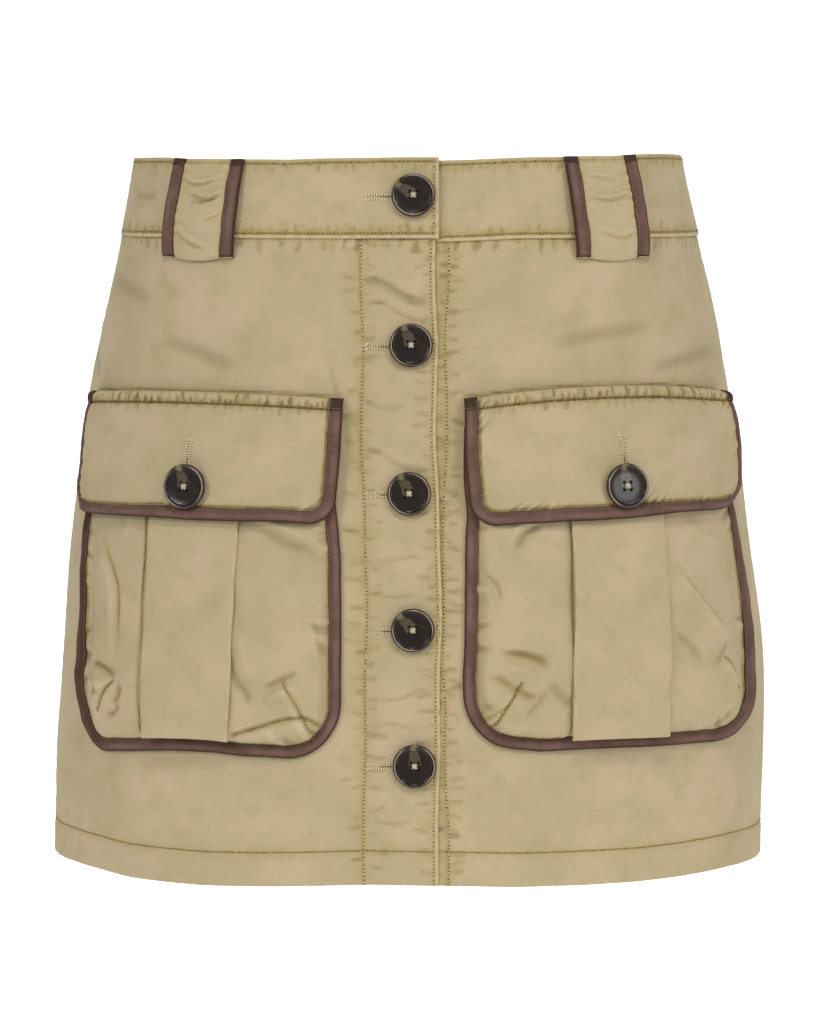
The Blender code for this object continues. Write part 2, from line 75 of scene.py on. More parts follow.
# Broad folds of the whole cloth: arc, drop, length, width, lean in degrees, and height.
BROAD_FOLDS = (
    (-125, 80, 60, 13, 22, -1.1), (-95, 103, 55, 12, 18, -1.0), (105, 76, 60, 13, -16, -1.0),
    (120, 102, 55, 12, -20, -1.1), (-190, 330, 34, 12, 72, -1.2), (182, 335, 48, 14, 84, 1.4),
    (236, 275, 45, 24, 80, 2.2), (330, 128, 70, 15, -14, -1.3), (455, 140, 60, 14, 20, -1.2),
    (-350, 132, 66, 15, 16, -1.3), (390, 320, 70, 18, 86, 1.6), (-420, 325, 64, 17, 92, 1.5),
    (505, 300, 60, 16, 94, -1.2), (-238, 268, 52, 40, 90, -2.2), (244, 372, 40, 42, 90, -1.8),
)

# How far the top edge and the hem hang below the level as the skirt is worn: arcs and drops.
TOP_HANG = (
    (-290, -240, -190, -163, -138, -120, -76, -63, -49, -36, 0, 55, 82, 111, 128, 147, 190, 230,
     290),
    (3.6, 2.6, 1.0, 0.7, 0.5, 1.4, 1.4, 1.5, 0.9, 0.7, 0.3, 0.4, 0.0, -0.3, -1.2, -1.5, -0.6, 1.8,
     3.6),
)
HEM_HANG = (
    (-400, -260, -204, -177, -155, -135, -110, -84, -52, -20, 16, 58, 90, 124, 150, 186, 260, 400),
    (-1.0, -1.5, -2.0, -0.5, 1.5, 2.1, 2.5, 2.0, 0.9, -0.4, 0.4, 1.5, 1.5, 1.3, 0.5, -1.2, -0.6,
     -1.0),
)


def ease(x):
    """0 below 0, 1 above 1, and a soft step between."""
    x = np.clip(x, 0.0, 1.0)
    return x * x * (3 - 2 * x)


def bell(x, width):
    """1 where x is 0, and dying away over a width on both sides of it."""
    return np.exp(-((x / width) ** 2))


def smooth_through(knots, values, x):
    """The heights at x of a smooth curve through the values at the knots."""
    knots, values = np.asarray(knots, float), np.asarray(values, float)
    slopes = np.gradient(values, knots)
    i = np.clip(np.searchsorted(knots, x) - 1, 0, len(knots) - 2)
    span = knots[i + 1] - knots[i]
    t = (x - knots[i]) / span
    start = (1 + 2 * t) * (1 - t) ** 2 * values[i] + t * (1 - t) ** 2 * span * slopes[i]
    return start + t * t * (3 - 2 * t) * values[i + 1] - t * t * (1 - t) * span * slopes[i + 1]


# The body's outlines are this far apart. Each is worked out in steps round it, and then kept in
# even steps of its girth.
LEVEL_STEP = 2.0
TURN_STEPS, GIRTH_STEPS = 1440, 1600


class Body:
    """The rounded form that the skirt hangs on, as level outlines."""

    def __init__(self):
        self.levels = np.arange(0.0, SKIRT_LENGTH + 1, LEVEL_STEP)
        width, front, back = (
            smooth_through(BODY[:, 0], BODY[:, k], self.levels)[:, None] for k in (1, 2, 3)
        )
        turn = np.linspace(-pi, pi, TURN_STEPS + 1)
        is_front = np.cos(turn) >= 0
        power = 2 / np.where(is_front, FRONT_SQUARENESS, BACK_SQUARENESS)
        x = width * np.sign(np.sin(turn)) * np.abs(np.sin(turn)) ** power
        y = np.where(is_front, -front, back) * np.abs(np.cos(turn)) ** power
        steps = np.hypot(np.diff(x, axis=1), np.diff(y, axis=1))
        arc = np.hstack([np.zeros((len(x), 1)), np.cumsum(steps, axis=1)])
        arc -= arc[:, [TURN_STEPS // 2]]
        self.half_girths, self.side_arcs = arc[:, -1], arc[:, TURN_STEPS * 3 // 4]
        shares = np.linspace(-1, 1, GIRTH_STEPS + 1)
        self.x, self.y = (
            np.array([np.interp(shares * end, level, side)
                      for end, level, side in zip(self.half_girths, arc, sides)])
            for sides in (x, y)
        )

    def half_girth(self, drop):
        return np.interp(drop, self.levels, self.half_girths)

    def side_arc(self, drop):
        return np.interp(drop, self.levels, self.side_arcs)

    def bare(self, arc, drop):
        """Points of the body with no folds in it."""
        level = np.clip(drop, 0, SKIRT_LENGTH - 0.001) / LEVEL_STEP
        i = level.astype(int)
        t = level - i
        girth = self.half_girths[i] * (1 - t) + self.half_girths[i + 1] * t
        share = ((arc / girth + 1) % 2) * (GIRTH_STEPS // 2)
        j = np.minimum(share.astype(int), GIRTH_STEPS - 1)
        s = share - j

        def between(table):
            upper = table[i, j] * (1 - s) + table[i, j + 1] * s
            return upper * (1 - t) + (table[i + 1, j] * (1 - s) + table[i + 1, j + 1] * s) * t

        return np.stack([between(self.x), between(self.y), BAND_HEIGHT / 2 - drop], axis=-1)

    def outward(self, arc, drop):
        around = self.bare(arc + 1, drop) - self.bare(arc - 1, drop)
        down = self.bare(arc, drop + 1) - self.bare(arc, drop - 1)
        normal = np.cross(down, around)
        return normal / np.linalg.norm(normal, axis=-1, keepdims=True)

    def folds(self, arc, drop):
        """How far the broad folds raise the cloth. Round the centre back, arcs run on past it."""
        total = np.zeros_like(arc)
        turn = 2 * self.half_girth(drop)
        for middle, level, length, width, lean, height in BROAD_FOLDS:
            lean = radians(lean)
            for shift in (-turn, 0, turn):
                a, d = arc + shift - middle, drop - level
                along, across = a * cos(lean) + d * sin(lean), d * cos(lean) - a * sin(lean)
                total += height * np.exp(-((along / length) ** 2) - (across / width) ** 2)
        return total * ease((drop - BAND_HEIGHT) / 12)

    def cloth(self, arc, drop, out):
        """Points a height out of the skirt's cloth, in metres."""
        arc, drop, out = np.broadcast_arrays(np.asarray(arc, float), drop, out)
        lift = (self.folds(arc, drop) + out)[..., None]
        points = self.bare(arc, drop) + self.outward(arc, drop) * lift
        turn = 2 * self.half_girth(drop)
        wound = (arc + turn / 2) % turn - turn / 2
        points[..., 2] -= np.interp(wound, *TOP_HANG) * ease(1 - drop / 38)
        points[..., 2] -= np.interp(wound, *HEM_HANG) * ease((drop - 260) / 110)
        return points / 1000


body = Body()
hem_seam = float(body.side_arc(SKIRT_LENGTH))


def ripple(along, spacing, seed):
    """Uneven waves along a seam, from -1 to 1."""
    random = np.random.default_rng(seed)
    total = 0.0
    for _ in range(6):
        pitch, start = spacing * random.uniform(0.65, 1.7), random.uniform(0, 2 * pi)
        total = total + np.sin(2 * pi * along / pitch + start)
    return np.tanh(0.75 * total)


def swell(across, down, seed, size):
    """Soft unevenness both ways, about -1 to 1, as of cloth that has been washed."""
    random = np.random.default_rng(seed)
    total = 0.0
    for _ in range(10):
        turn, pitch, start = random.uniform(0, pi), random.uniform(0.6, 1.9), random.uniform(0, 6)
        along = across * cos(turn) + down * sin(turn)
        total = total + np.sin(2 * pi * along / (pitch * size) + start)
    return total / 3


def rolled(distance, radius):
    """How far the cloth dips where it is folded over at an edge, a distance in from it."""
    t = 1 - np.clip(distance / radius, 0, 1)
    return -radius * (1 - np.sqrt(1 - t * t))


def follow(path, stops):
    """The two coordinates of a smooth line through a path's points, at stops counted in points."""
    return [smooth_through(np.arange(len(path)), side, stops) for side in zip(*path)]


class Relief:
    """The small shapes of a sewn piece, in millimetres. Its dark marks are both garment dyeing and
    painted shade, its pale marks both wear and painted highlight, and its hollows painted shade.
    Its two coordinates are the piece's own, across and down."""

    def __init__(self, across, down, seed, uneven=0.25, size=45.0):
        self.across, self.down = np.broadcast_arrays(np.asarray(across, float), down)
        self.height = uneven * swell(self.across, self.down, seed, size)
        self.dye = np.zeros(self.across.shape)
        self.worn = np.zeros(self.across.shape)

    def add_dye_and_painted_shade(self, depth):
        """Darken the cloth to a depth of garment dyeing and painted shade, where it isn't darker
        yet.
        """
        self.dye = np.maximum(self.dye, depth)

    def add_wear_and_painted_light(self, more):
        """Make the cloth paler by so much more, as wear and as painted highlight. A negative amount
        paints shade.
        """
        self.worn = self.worn + more

    def sewn(self, away, along, seed, spacing=5.0, depth=0.3, reach=6.0, groove=0.3, wide=0.8,
             shade_and_stain=0.6, tint=0.7):
        """A line of stitching pulls a groove, and draws short puckers on both of its sides. The
        line is darkened by soiling and painted shade, and the cloth round it olive by its tint,
        from garment dyeing. The puckers are paler on their tops, as wear and painted highlight, and
        painted in shade in their troughs."""
        fan = along + 0.35 * away * ripple(along, 4 * spacing, seed + 1)
        waves = ripple(fan, spacing, seed) * (0.55 + 0.45 * ripple(along, 7 * spacing, seed + 2))
        waves = np.where(waves < 0, -1.5 * waves**2, 0.8 * waves)
        near = np.exp(-np.abs(away) / reach)
        self.height = self.height + depth * waves * near - groove * bell(away, wide)
        # The line's dark mark is soiling and painted shade in its groove.
        line = shade_and_stain * bell(away, wide + 0.3)
        self.add_dye_and_painted_shade(tint * near + (1.6 - tint) * line)
        # Pucker crests are paler, as wear and painted highlight, and their troughs painted in
        # shade.
        self.add_wear_and_painted_light(2.2 * depth * waves * near)

    def crease(self, path, height, width, lean=0.0, shade_and_stain=0.0, fade=0.3):
        """A fold along a path, with a painted highlight along it, or a hollow with painted shade in
        it where its height is negative. A lean makes the side to the right of the path steeper,
        painted shade can darken the path's own line, and the fold dies away over a share of its
        length at both ends."""
        stops = np.linspace(0, len(path) - 1, 6 * len(path))
        line = np.stack(follow(path, stops), 1)
        low, high = line.min(0) - 3 * width, line.max(0) + 3 * width
        near = (self.across > low[0]) & (self.across < high[0])
        near &= (self.down > low[1]) & (self.down < high[1])
        if not near.any():
            return
        a, d = self.across[near], self.down[near]
        best, side, share = np.full(a.shape, 1e9), np.zeros(a.shape), np.zeros(a.shape)
        for i, (p, q) in enumerate(zip(line, line[1:])):
            step = q - p
            t = np.clip(((a - p[0]) * step[0] + (d - p[1]) * step[1]) / (step @ step), 0, 1)
            off_a, off_d = a - p[0] - t * step[0], d - p[1] - t * step[1]
            distance = np.hypot(off_a, off_d)
            closer = distance < best
            best = np.where(closer, distance, best)
            side = np.where(closer, np.sign(step[0] * off_d - step[1] * off_a), side)
            share = np.where(closer, (i + t) / (len(line) - 1), share)
        ends = ease(share / fade) * ease((1 - share) / fade)
        round_fold = bell(best, width)
        shape = ends * round_fold * (1 + lean * side * best / width)
        self.height = self.height.copy()
        self.height[near] += height * shape
        # A painted highlight along a fold's ridge, and painted shade in a hollow.
        self.worn[near] += (-0.75 if height < 0 else min(0.5 * height, 0.5)) * shape
        # Painted shade along the path's own line.
        line = shade_and_stain * ends * bell(best, max(0.9, 0.8 * width))
        self.dye[near] = np.maximum(self.dye[near], line)

    def creases(self, folds):
        """Folds and hollows from a table of paths, heights, widths and leans."""
        for path, height, width, lean in folds:
            self.crease(path, height, width, lean)

    def gathers(self, level, start, end, pitch, seed, reach, sides=(-1, 1), upright=False,
                depth=0.35, width=0.8, shade_and_stain=0.5):
        """Short uneven hollows run out from a seam at a level, darkened by garment dyeing and
        painted shade.
        """
        random = np.random.default_rng(seed)
        for away in sides:
            for spot in np.arange(start + pitch / 2, end, pitch):
                spot = spot + random.uniform(-0.45, 0.45) * pitch
                strength, long = random.uniform(0.2, 1.0), reach * random.uniform(0.4, 1.1)
                lean, wide = random.normal(0, 0.22) * long, width * random.uniform(0.7, 1.5)
                path = [(spot + share_across * lean, level + away * share_down * long)
                        for share_across, share_down in ((0, -0.2), (0.4, 0.5), (1, 1))]
                if upright:
                    path = [(b, a) for a, b in path]
                self.crease(path, -depth * strength, wide, shade_and_stain=shade_and_stain * strength, fade=0.4)


def spread(start, end, step, edge=1.5):
    """Grid lines from start to end. They are close together where an edge rolls over."""
    near = edge * np.array([0.0, 0.03, 0.12, 0.3, 0.6])
    middle = np.linspace(start + edge, end - edge, ceil((end - start - 2 * edge) / step) + 1)
    return np.concatenate([start + near, middle, (end - near)[::-1]])


def meshed(name, form):
    """The mesh of a form that is finished with."""
    mesh = bpy.data.meshes.new(name)
    form.to_mesh(mesh)
    form.free()
    return mesh


def shown(name, data):
    """An object in the scene, of a mesh, a light or a camera."""
    thing = bpy.data.objects.new(name, data)
    bpy.context.scene.collection.objects.link(thing)
    return thing


def coordinates(mesh):
    """The X, Y and Z of a mesh's points."""
    flat = np.empty(3 * len(mesh.vertices))
    mesh.vertices.foreach_get("co", flat)
    return flat[0::3], flat[1::3], flat[2::3]


def lay_out(mesh, name, plan):
    """A UV map that has each point of a mesh at its place on a flat plan."""
    corners = np.empty(len(mesh.loops), int)
    mesh.loops.foreach_get("vertex_index", corners)
    mesh.uv_layers.new(name=name).data.foreach_set("uv", plan[corners].ravel())


def cut_cloth(name, columns, rows, place, wall, finish):
    """A piece of cloth, cut flat as a fine grid and then laid where it is worn. place gives the
    points of its outer face and its relief, for a column from -X to +X and a row from the top."""
    across, down = len(columns) - 1, len(rows) - 1
    form = bmesh.new()
    bmesh.ops.create_grid(form, x_segments=across, y_segments=down, size=0.5)
    mesh = meshed(name, form)
    x, y, _ = coordinates(mesh)
    column = np.asarray(columns)[np.rint((x + 0.5) * across).astype(int)]
    row = np.asarray(rows)[np.rint((0.5 - y) * down).astype(int)]
    points, relief = place(column, row)
    mesh.vertices.foreach_set("co", points.ravel())
    for mark, values in (("dye", relief.dye), ("worn", relief.worn)):
        mesh.attributes.new(mark, "FLOAT", "POINT").data.foreach_set("value", values)
    lay_out(mesh, "cut", np.stack([relief.across, relief.down], 1) / 1000)
    mesh.shade_smooth()
    mesh.materials.append(finish.material)
    piece = shown(name, mesh)
    thickness = piece.modifiers.new("Cloth wall", "SOLIDIFY")
    thickness.thickness = wall / 1000
    thickness.offset = -1
    return piece


def belongs(piece, slot, *nodes):
    """The piece rides on the skirt and stands for the solids it names. Its slot is not used."""
    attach(piece, "root")
    if nodes:
        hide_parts(*nodes)


class Value:
    """A value that runs through a finish's nodes, so that sums on it read as plain maths."""

    def __init__(self, finish, socket):
        self.finish, self.socket = finish, socket

    def maths(self, operation, first, second):
        return self.finish.node("Math", {"operation": operation}, {0: first, 1: second})

    def __add__(self, other):
        return self.maths("ADD", self, other)

    def __sub__(self, other):
        return self.maths("SUBTRACT", self, other)

    def __rsub__(self, other):
        return self.maths("SUBTRACT", other, self)

    def __mul__(self, other):
        return self.maths("MULTIPLY", self, other)

    def __abs__(self):
        return self.finish.node("Math", {"operation": "ABSOLUTE"}, {0: self})

    __radd__, __rmul__ = __add__, __mul__

    def within(self, low, high):
        """0 below low, 1 above high, and a soft step between."""
        settings = {"interpolation_type": "SMOOTHSTEP"}
        return self.finish.node("MapRange", settings, {0: self, 1: low, 2: high})


class Finish:
    """A material and its nodes."""

    def __init__(self, name, roughness, sheen=0.0, coat=0.0):
        self.material = bpy.data.materials.new(name)
        self.material.use_nodes = True
        self.tree = self.material.node_tree
        self.shader = self.tree.nodes["Principled BSDF"]
        self.put("Roughness", roughness)
        self.put("Sheen Weight", sheen)
        self.put("Sheen Roughness", 0.6)
        self.put("Coat Weight", coat)

    def put(self, name, value):
        """A value, or what runs through the nodes, into the shader."""
        self.feed(self.shader.inputs[name], value)

    def tint(self, share, colour, mode="MIX"):
        """Take the finish's colour so far towards another one."""
        self.colour = self.blend(share, self.colour, colour, mode)

    def feed(self, socket, value):
        if isinstance(value, Value):
            self.tree.links.new(value.socket, socket)
        else:
            socket.default_value = value

    def node(self, kind, settings=None, sockets=None, output=0):
        made = self.tree.nodes.new("ShaderNode" + kind)
        for key, value in (settings or {}).items():
            if key == "stops":
                ramp = made.color_ramp
                while len(ramp.elements) < len(value):
                    ramp.elements.new(0.5)
                for element, (place, colour) in zip(ramp.elements, value):
                    element.position, element.color = place, (*colour, 1)
            else:
                setattr(made, key, value)
        for key, value in (sockets or {}).items():
            self.feed(made.inputs[key], value)
        return Value(self, made.outputs[output])

    def mark(self, name):
        return self.node("Attribute", {"attribute_name": name}, output="Fac")

    def blend(self, share, first, second, mode="MIX"):
        settings = {"data_type": "RGBA", "blend_type": mode}
        colours = [c if isinstance(c, Value) else (*c, 1) for c in (first, second)]
        return self.node("Mix", settings, {0: share, 6: colours[0], 7: colours[1]}, output=2)

    def noise(self, place, size, detail=3.0):
        """Cloudy noise whose clouds are about a size in metres."""
        return self.node("TexNoise", {}, {"Vector": place, "Scale": 1 / size, "Detail": detail})

    def cloth_grain(self, pitch, depth):
        """The fine slanting ribs of twill, with uneven yarns, as a bump."""
        cut = self.node("UVMap", {"uv_map": "cut"})
        slant = self.node("Mapping", {}, {"Vector": cut, "Rotation": (0, 0, radians(52))})
        ribs = self.node("TexWave", {}, {
            "Vector": slant, "Scale": 0.314 / pitch, "Distortion": 1.2, "Detail": 2.0,
            "Detail Scale": 1.5,
        }, output="Fac")
        yarns = self.noise(cut, 1.4 * pitch, 2.0)
        height = ribs * 0.5 + yarns
        bump = self.node("Bump", {}, {"Height": height, "Strength": 0.45, "Distance": depth})
        self.put("Normal", bump)
        return cut, ribs


def make_twill(name):
    """Khaki twill, cloudy, and olive and strong in the seams from garment dyeing, paler on the
    puckers with wear. Its dark lines are painted shade with some soiling, and its folds carry
    painted highlights and painted shade.
    """
    twill = Finish(name, roughness=0.95, sheen=0.05)
    twill.put("Specular IOR Level", 0.18)
    cut, _ = twill.cloth_grain(0.0006, 0.00016)
    clouds = twill.noise(cut, 0.045, 4.0).within(0.36, 0.66)
    twill.colour = twill.blend(clouds, (0.380, 0.311, 0.178), (0.430, 0.340, 0.213))
    patches = twill.noise(cut, 0.016, 3.0).within(0.45, 0.75)
    twill.tint(patches * 0.75, (0.348, 0.290, 0.152))
    rosy = twill.noise(cut, 0.009, 3.0).within(0.50, 0.75)
    twill.tint(rosy * 0.6, (0.440, 0.324, 0.208))
    dye = twill.mark("dye")
    uneven = twill.noise(cut, 0.006, 3.0).within(0.30, 0.66)
    # Garment dyeing tints the cloth olive towards the seams.
    twill.tint(dye.within(0.0, 1.0) * (0.30 + uneven * 0.55), (0.335, 0.257, 0.096))
    # Dark lines: painted shade in grooves, creases, hollows and under edges, with some soiling.
    twill.tint(dye.within(0.75, 1.6) * (0.55 + uneven * 0.35), (0.140, 0.100, 0.032))
    worn = twill.mark("worn")
    # Paler with wear, and as a painted highlight on fold ridges and folded edges.
    twill.tint(worn.within(0.15, 1.3) * 0.6, (0.530, 0.440, 0.280))
    # Painted shade in fold hollows and pucker troughs.
    twill.tint((0.0 - worn).within(0.1, 1.2) * 0.6, (0.190, 0.146, 0.060))
    slub = twill.node("Mapping", {}, {"Vector": cut, "Scale": (0.3, 1.0, 1.0)})
    streaks = twill.noise(slub, 0.0008, 2.0).within(0.28, 0.72)
    fleck = twill.noise(cut, 0.0007, 2.0).within(0.25, 0.75)
    grain = streaks * 0.5 + fleck * 0.7
    greys = twill.blend(grain, (0.34, 0.34, 0.34), (0.64, 0.64, 0.64))
    twill.tint(0.30, greys, mode="OVERLAY")
    twill.put("Base Color", twill.colour)
    return twill


def make_thread(name, dark, light):
    """Spun thread: fine twisted plies that catch the light."""
    thread = Finish(name, roughness=0.75)
    thread.put("Specular IOR Level", 0.12)
    place = thread.node("TexCoord", output="Object")
    twist = thread.noise(place, 0.0006, 2.0)
    colour = thread.blend(twist.within(0.3, 0.7), dark, light)
    thread.put("Base Color", colour)
    thread.put("Normal", thread.node("Bump", {}, {
        "Height": twist, "Strength": 0.5, "Distance": 0.0001}))
    return thread


twill = make_twill("cotton_twill_cloth")
olive_thread = make_thread("olive_thread", (0.190, 0.142, 0.046), (0.390, 0.305, 0.130))
bronze_thread = make_thread("bronze_thread", (0.092, 0.064, 0.020), (0.210, 0.156, 0.058))
straw_thread = make_thread("straw_thread", (0.36, 0.285, 0.120), (0.63, 0.520, 0.275))
# Painted shade in the needle's holes.
needle_hole_shade = make_thread("needle_hole_shade", (0.070, 0.050, 0.015), (0.115, 0.085, 0.030))

stitch_form = bmesh.new()
bmesh.ops.create_uvsphere(stitch_form, u_segments=6, v_segments=4, radius=1.0)
stitch = meshed("stitch", stitch_form)
stitch.shade_smooth()


def add_shape(form, shape):
    """One more rounded stitch in a mesh, stretched and placed by a matrix."""
    stitch.transform(shape)
    form.from_mesh(stitch)
    stitch.transform(shape.inverted())


def finished(name, form, finish, slot):
    """The mesh as a piece of the skirt, in one finish."""
    mesh = meshed(name, form)
    mesh.materials.append(finish.material)
    belongs(shown(name, mesh), slot)


# Half the length, width and depth of a needle's hole, in metres. The dark shape there is painted
# shade in the hole.
NEEDLE_HOLE = (0.00046, 0.00054, 0.00028)


def sew(name, runs, finish, slot="cotton_twill", pitch=2.0, length=1.3, thick=0.95, slant=0.0,
        sunk=0.12, holes=True):
    """Rows of stitches that lie on the cloth, with dark shapes of painted shade in the needle's
    holes between them. A run is the place function of a piece, and the line's coordinates on it. A
    slant turns each stitch across its line, in degrees."""
    row, pricks = bmesh.new(), bmesh.new()
    random = np.random.default_rng(len(name))
    for place, across, down in runs:
        fine = place(across, down)[0] * 1000
        reach = np.concatenate([[0], np.cumsum(np.linalg.norm(np.diff(fine, axis=0), axis=1))])
        middles = np.arange(pitch / 2, reach[-1], pitch)
        a, b = np.interp(middles, reach, across), np.interp(middles, reach, down)
        on = np.interp(middles + 0.4, reach, across), np.interp(middles + 0.4, reach, down)
        back = np.interp(middles - 0.4, reach, across), np.interp(middles - 0.4, reach, down)
        here = place(a, b)[0]
        along = place(*on)[0] - place(*back)[0]
        out = np.cross(place(a, b + 0.5)[0] - place(a, b - 0.5)[0],
                       place(a + 0.5, b)[0] - place(a - 0.5, b)[0])
        turns = radians(slant) + random.normal(0, 0.09, len(a))
        for point, forward, up, turn in zip(here, along, out, turns):
            up = Vector(up).normalized()
            forward = Vector(forward).normalized()
            aside = up.cross(forward).normalized()
            hole = Vector(point) + forward * pitch / 2000 - up * 0.0001
            forward, aside = (forward * cos(turn) + aside * sin(turn),
                              aside * cos(turn) - forward * sin(turn))
            half = Vector((length, thick, 0.8 * thick)) / 2000
            lies = Vector(point) + up * (0.3 * thick - sunk) / 1000
            shapes = [(row, lies, half), (pricks, hole, NEEDLE_HOLE)]
            for form, middle, size in shapes if holes else shapes[:1]:
                axes = Matrix([way * reach for way, reach in zip((forward, aside, up), size)])
                add_shape(form, Matrix.Translation(middle) @ axes.transposed().to_4x4())
    if holes:
        finished(f"{name}_holes", pricks, needle_hole_shade, slot)
    else:
        pricks.free()
    finished(name, row, finish, slot)


def line(start, end, level, count=300):
    """The coordinates of a straight line across, at one level."""
    return np.linspace(start, end, count), np.full(count, float(level))


def upright(across, start, end, count=300):
    """The coordinates of a straight line down, at one place across."""
    return np.full(count, float(across)), np.linspace(start, end, count)


def flared(arc, drop):
    """A hem arc brought up to its drop: true near the closure, and in the girth's proportion by
    the side seam."""
    share = ease((np.abs(arc) - 30) / (hem_seam - 30))
    return arc * (1 + share * (body.side_arc(drop) / hem_seam - 1))


def front_layer(arc, side):
    """How far the closure lifts the right front, or sets the left front back."""
    if side == "right":
        return PLACKET_PROUD * ease((arc - PLACKET_STITCH + PLACKET_STEP) / PLACKET_STEP)
    behind = PANEL_WALL - PLACKET_PROUD + 0.3
    return -behind * ease((OVERLAP_EDGE + 3 * PLACKET_STEP - arc) / (2 * PLACKET_STEP))


def under_hang(arc):
    """How far the underlap's top hangs below the lap over it, in metres."""
    return 0.0015 * ease((64 - arc) / 46)


# How far the closure's lines wander from the straight as the skirt hangs: drops and arcs.
OVERLAP_WANDER = ((43, 56, 78, 98, 120, 148, 175, 205, 240, 268, 310, 340, 380),
                  (-0.7, -1.1, -0.6, 0.5, 0.0, -0.5, 1.0, 1.6, 2.6, 1.5, 1.6, 0.7, 0.7))
UNDERLAP_WANDER = ((43, 60, 98, 130, 160, 185, 215, 244, 264, 290, 306, 328, 350, 380),
                   (0.6, 0.6, -1.4, -0.4, -1.0, -2.4, -2.4, -1.9, -2.6, -1.2, -1.7, -1.0, 0.4, 0.4))

# Folds of the two fronts: a path of arcs and drops, height, width and lean.
RIGHT_FRONT_FOLDS = (
    ([(-26, 61), (-14, 61), (0, 69), (13, 71)], 0.9, 3.6, 0.5),
    ([(-26, 72), (-16, 72), (-4, 79), (13, 86)], 0.8, 3.6, 0.5),
    ([(-26, 66), (-14, 67), (-2, 74), (12, 79)], -0.6, 3.0, 0.0),
    ([(-26, 147), (-15, 151), (-2, 159), (12, 160)], 0.8, 3.8, 0.5),
    ([(-25, 124), (-12, 128), (4, 126)], 0.5, 3.4, 0.3),
    ([(-25, 204), (-14, 207), (0, 205), (12, 209)], 0.6, 3.6, 0.4),
    ([(-26, 222), (-12, 226), (8, 224)], 0.5, 3.4, -0.3),
    ([(-25, 276), (-10, 279), (6, 274), (13, 275)], 0.6, 3.8, 0.4),
    ([(-25, 296), (-12, 292), (4, 296)], 0.45, 3.4, 0.3),
    ([(-24, 340), (-10, 344), (8, 341)], 0.5, 3.8, 0.3),
    ([(-146, 93), (-113, 102), (-84, 113)], -0.8, 5.5, 0.4),
    ([(-208, 61), (-136, 77)], -0.7, 6.0, 0.3),
    ([(-230, 96), (-205, 110), (-190, 118)], -0.7, 5.0, 0.3),
    ([(-44, 96), (-38, 118), (-36, 140)], 0.4, 6.0, 0.2),
)
LEFT_FRONT_FOLDS = (
    ([(68, 101), (102, 94), (146, 90)], -0.8, 5.5, -0.4),
    ([(124, 114), (160, 108), (200, 103)], -0.7, 5.0, -0.3),
    ([(18, 76), (26, 78), (40, 74)], 0.35, 3.0, 0.0),
    ([(215, 70), (236, 92)], -0.8, 6.0, 0.3),
    ([(210, 205), (214, 240), (212, 285)], 0.7, 6.0, 0.4),
)

# The flap's top edge on each front: its middle arc, its drop there, and how far its ends bow down.
FLAP_TOPS = {"right": (-114.3, 123.2, 3.0), "left": (108.4, 120.0, 6.2)}
HALF_FLAP = 80.25


# How far in the cloth starts to turn over at a side seam and at the hem's foot.
SEAM_ROLL, HEM_ROLL = 1.2, 0.9


def joined(way, seam):
    """Two panels run on into each other in their side seam."""
    return way * 0.9 * bell(seam, SEAM_ROLL)


def band_shade(drop):
    """A dark line of painted shade just under the waistband's edge."""
    return 1.5 * bell(drop - BAND_HEIGHT - 0.9, 0.6)


def hem_layers(drop):
    """Below its stitches, the hem is three layers thick."""
    return 0.35 * ease((drop - HEM_STITCH - 0.6) / 2.5)


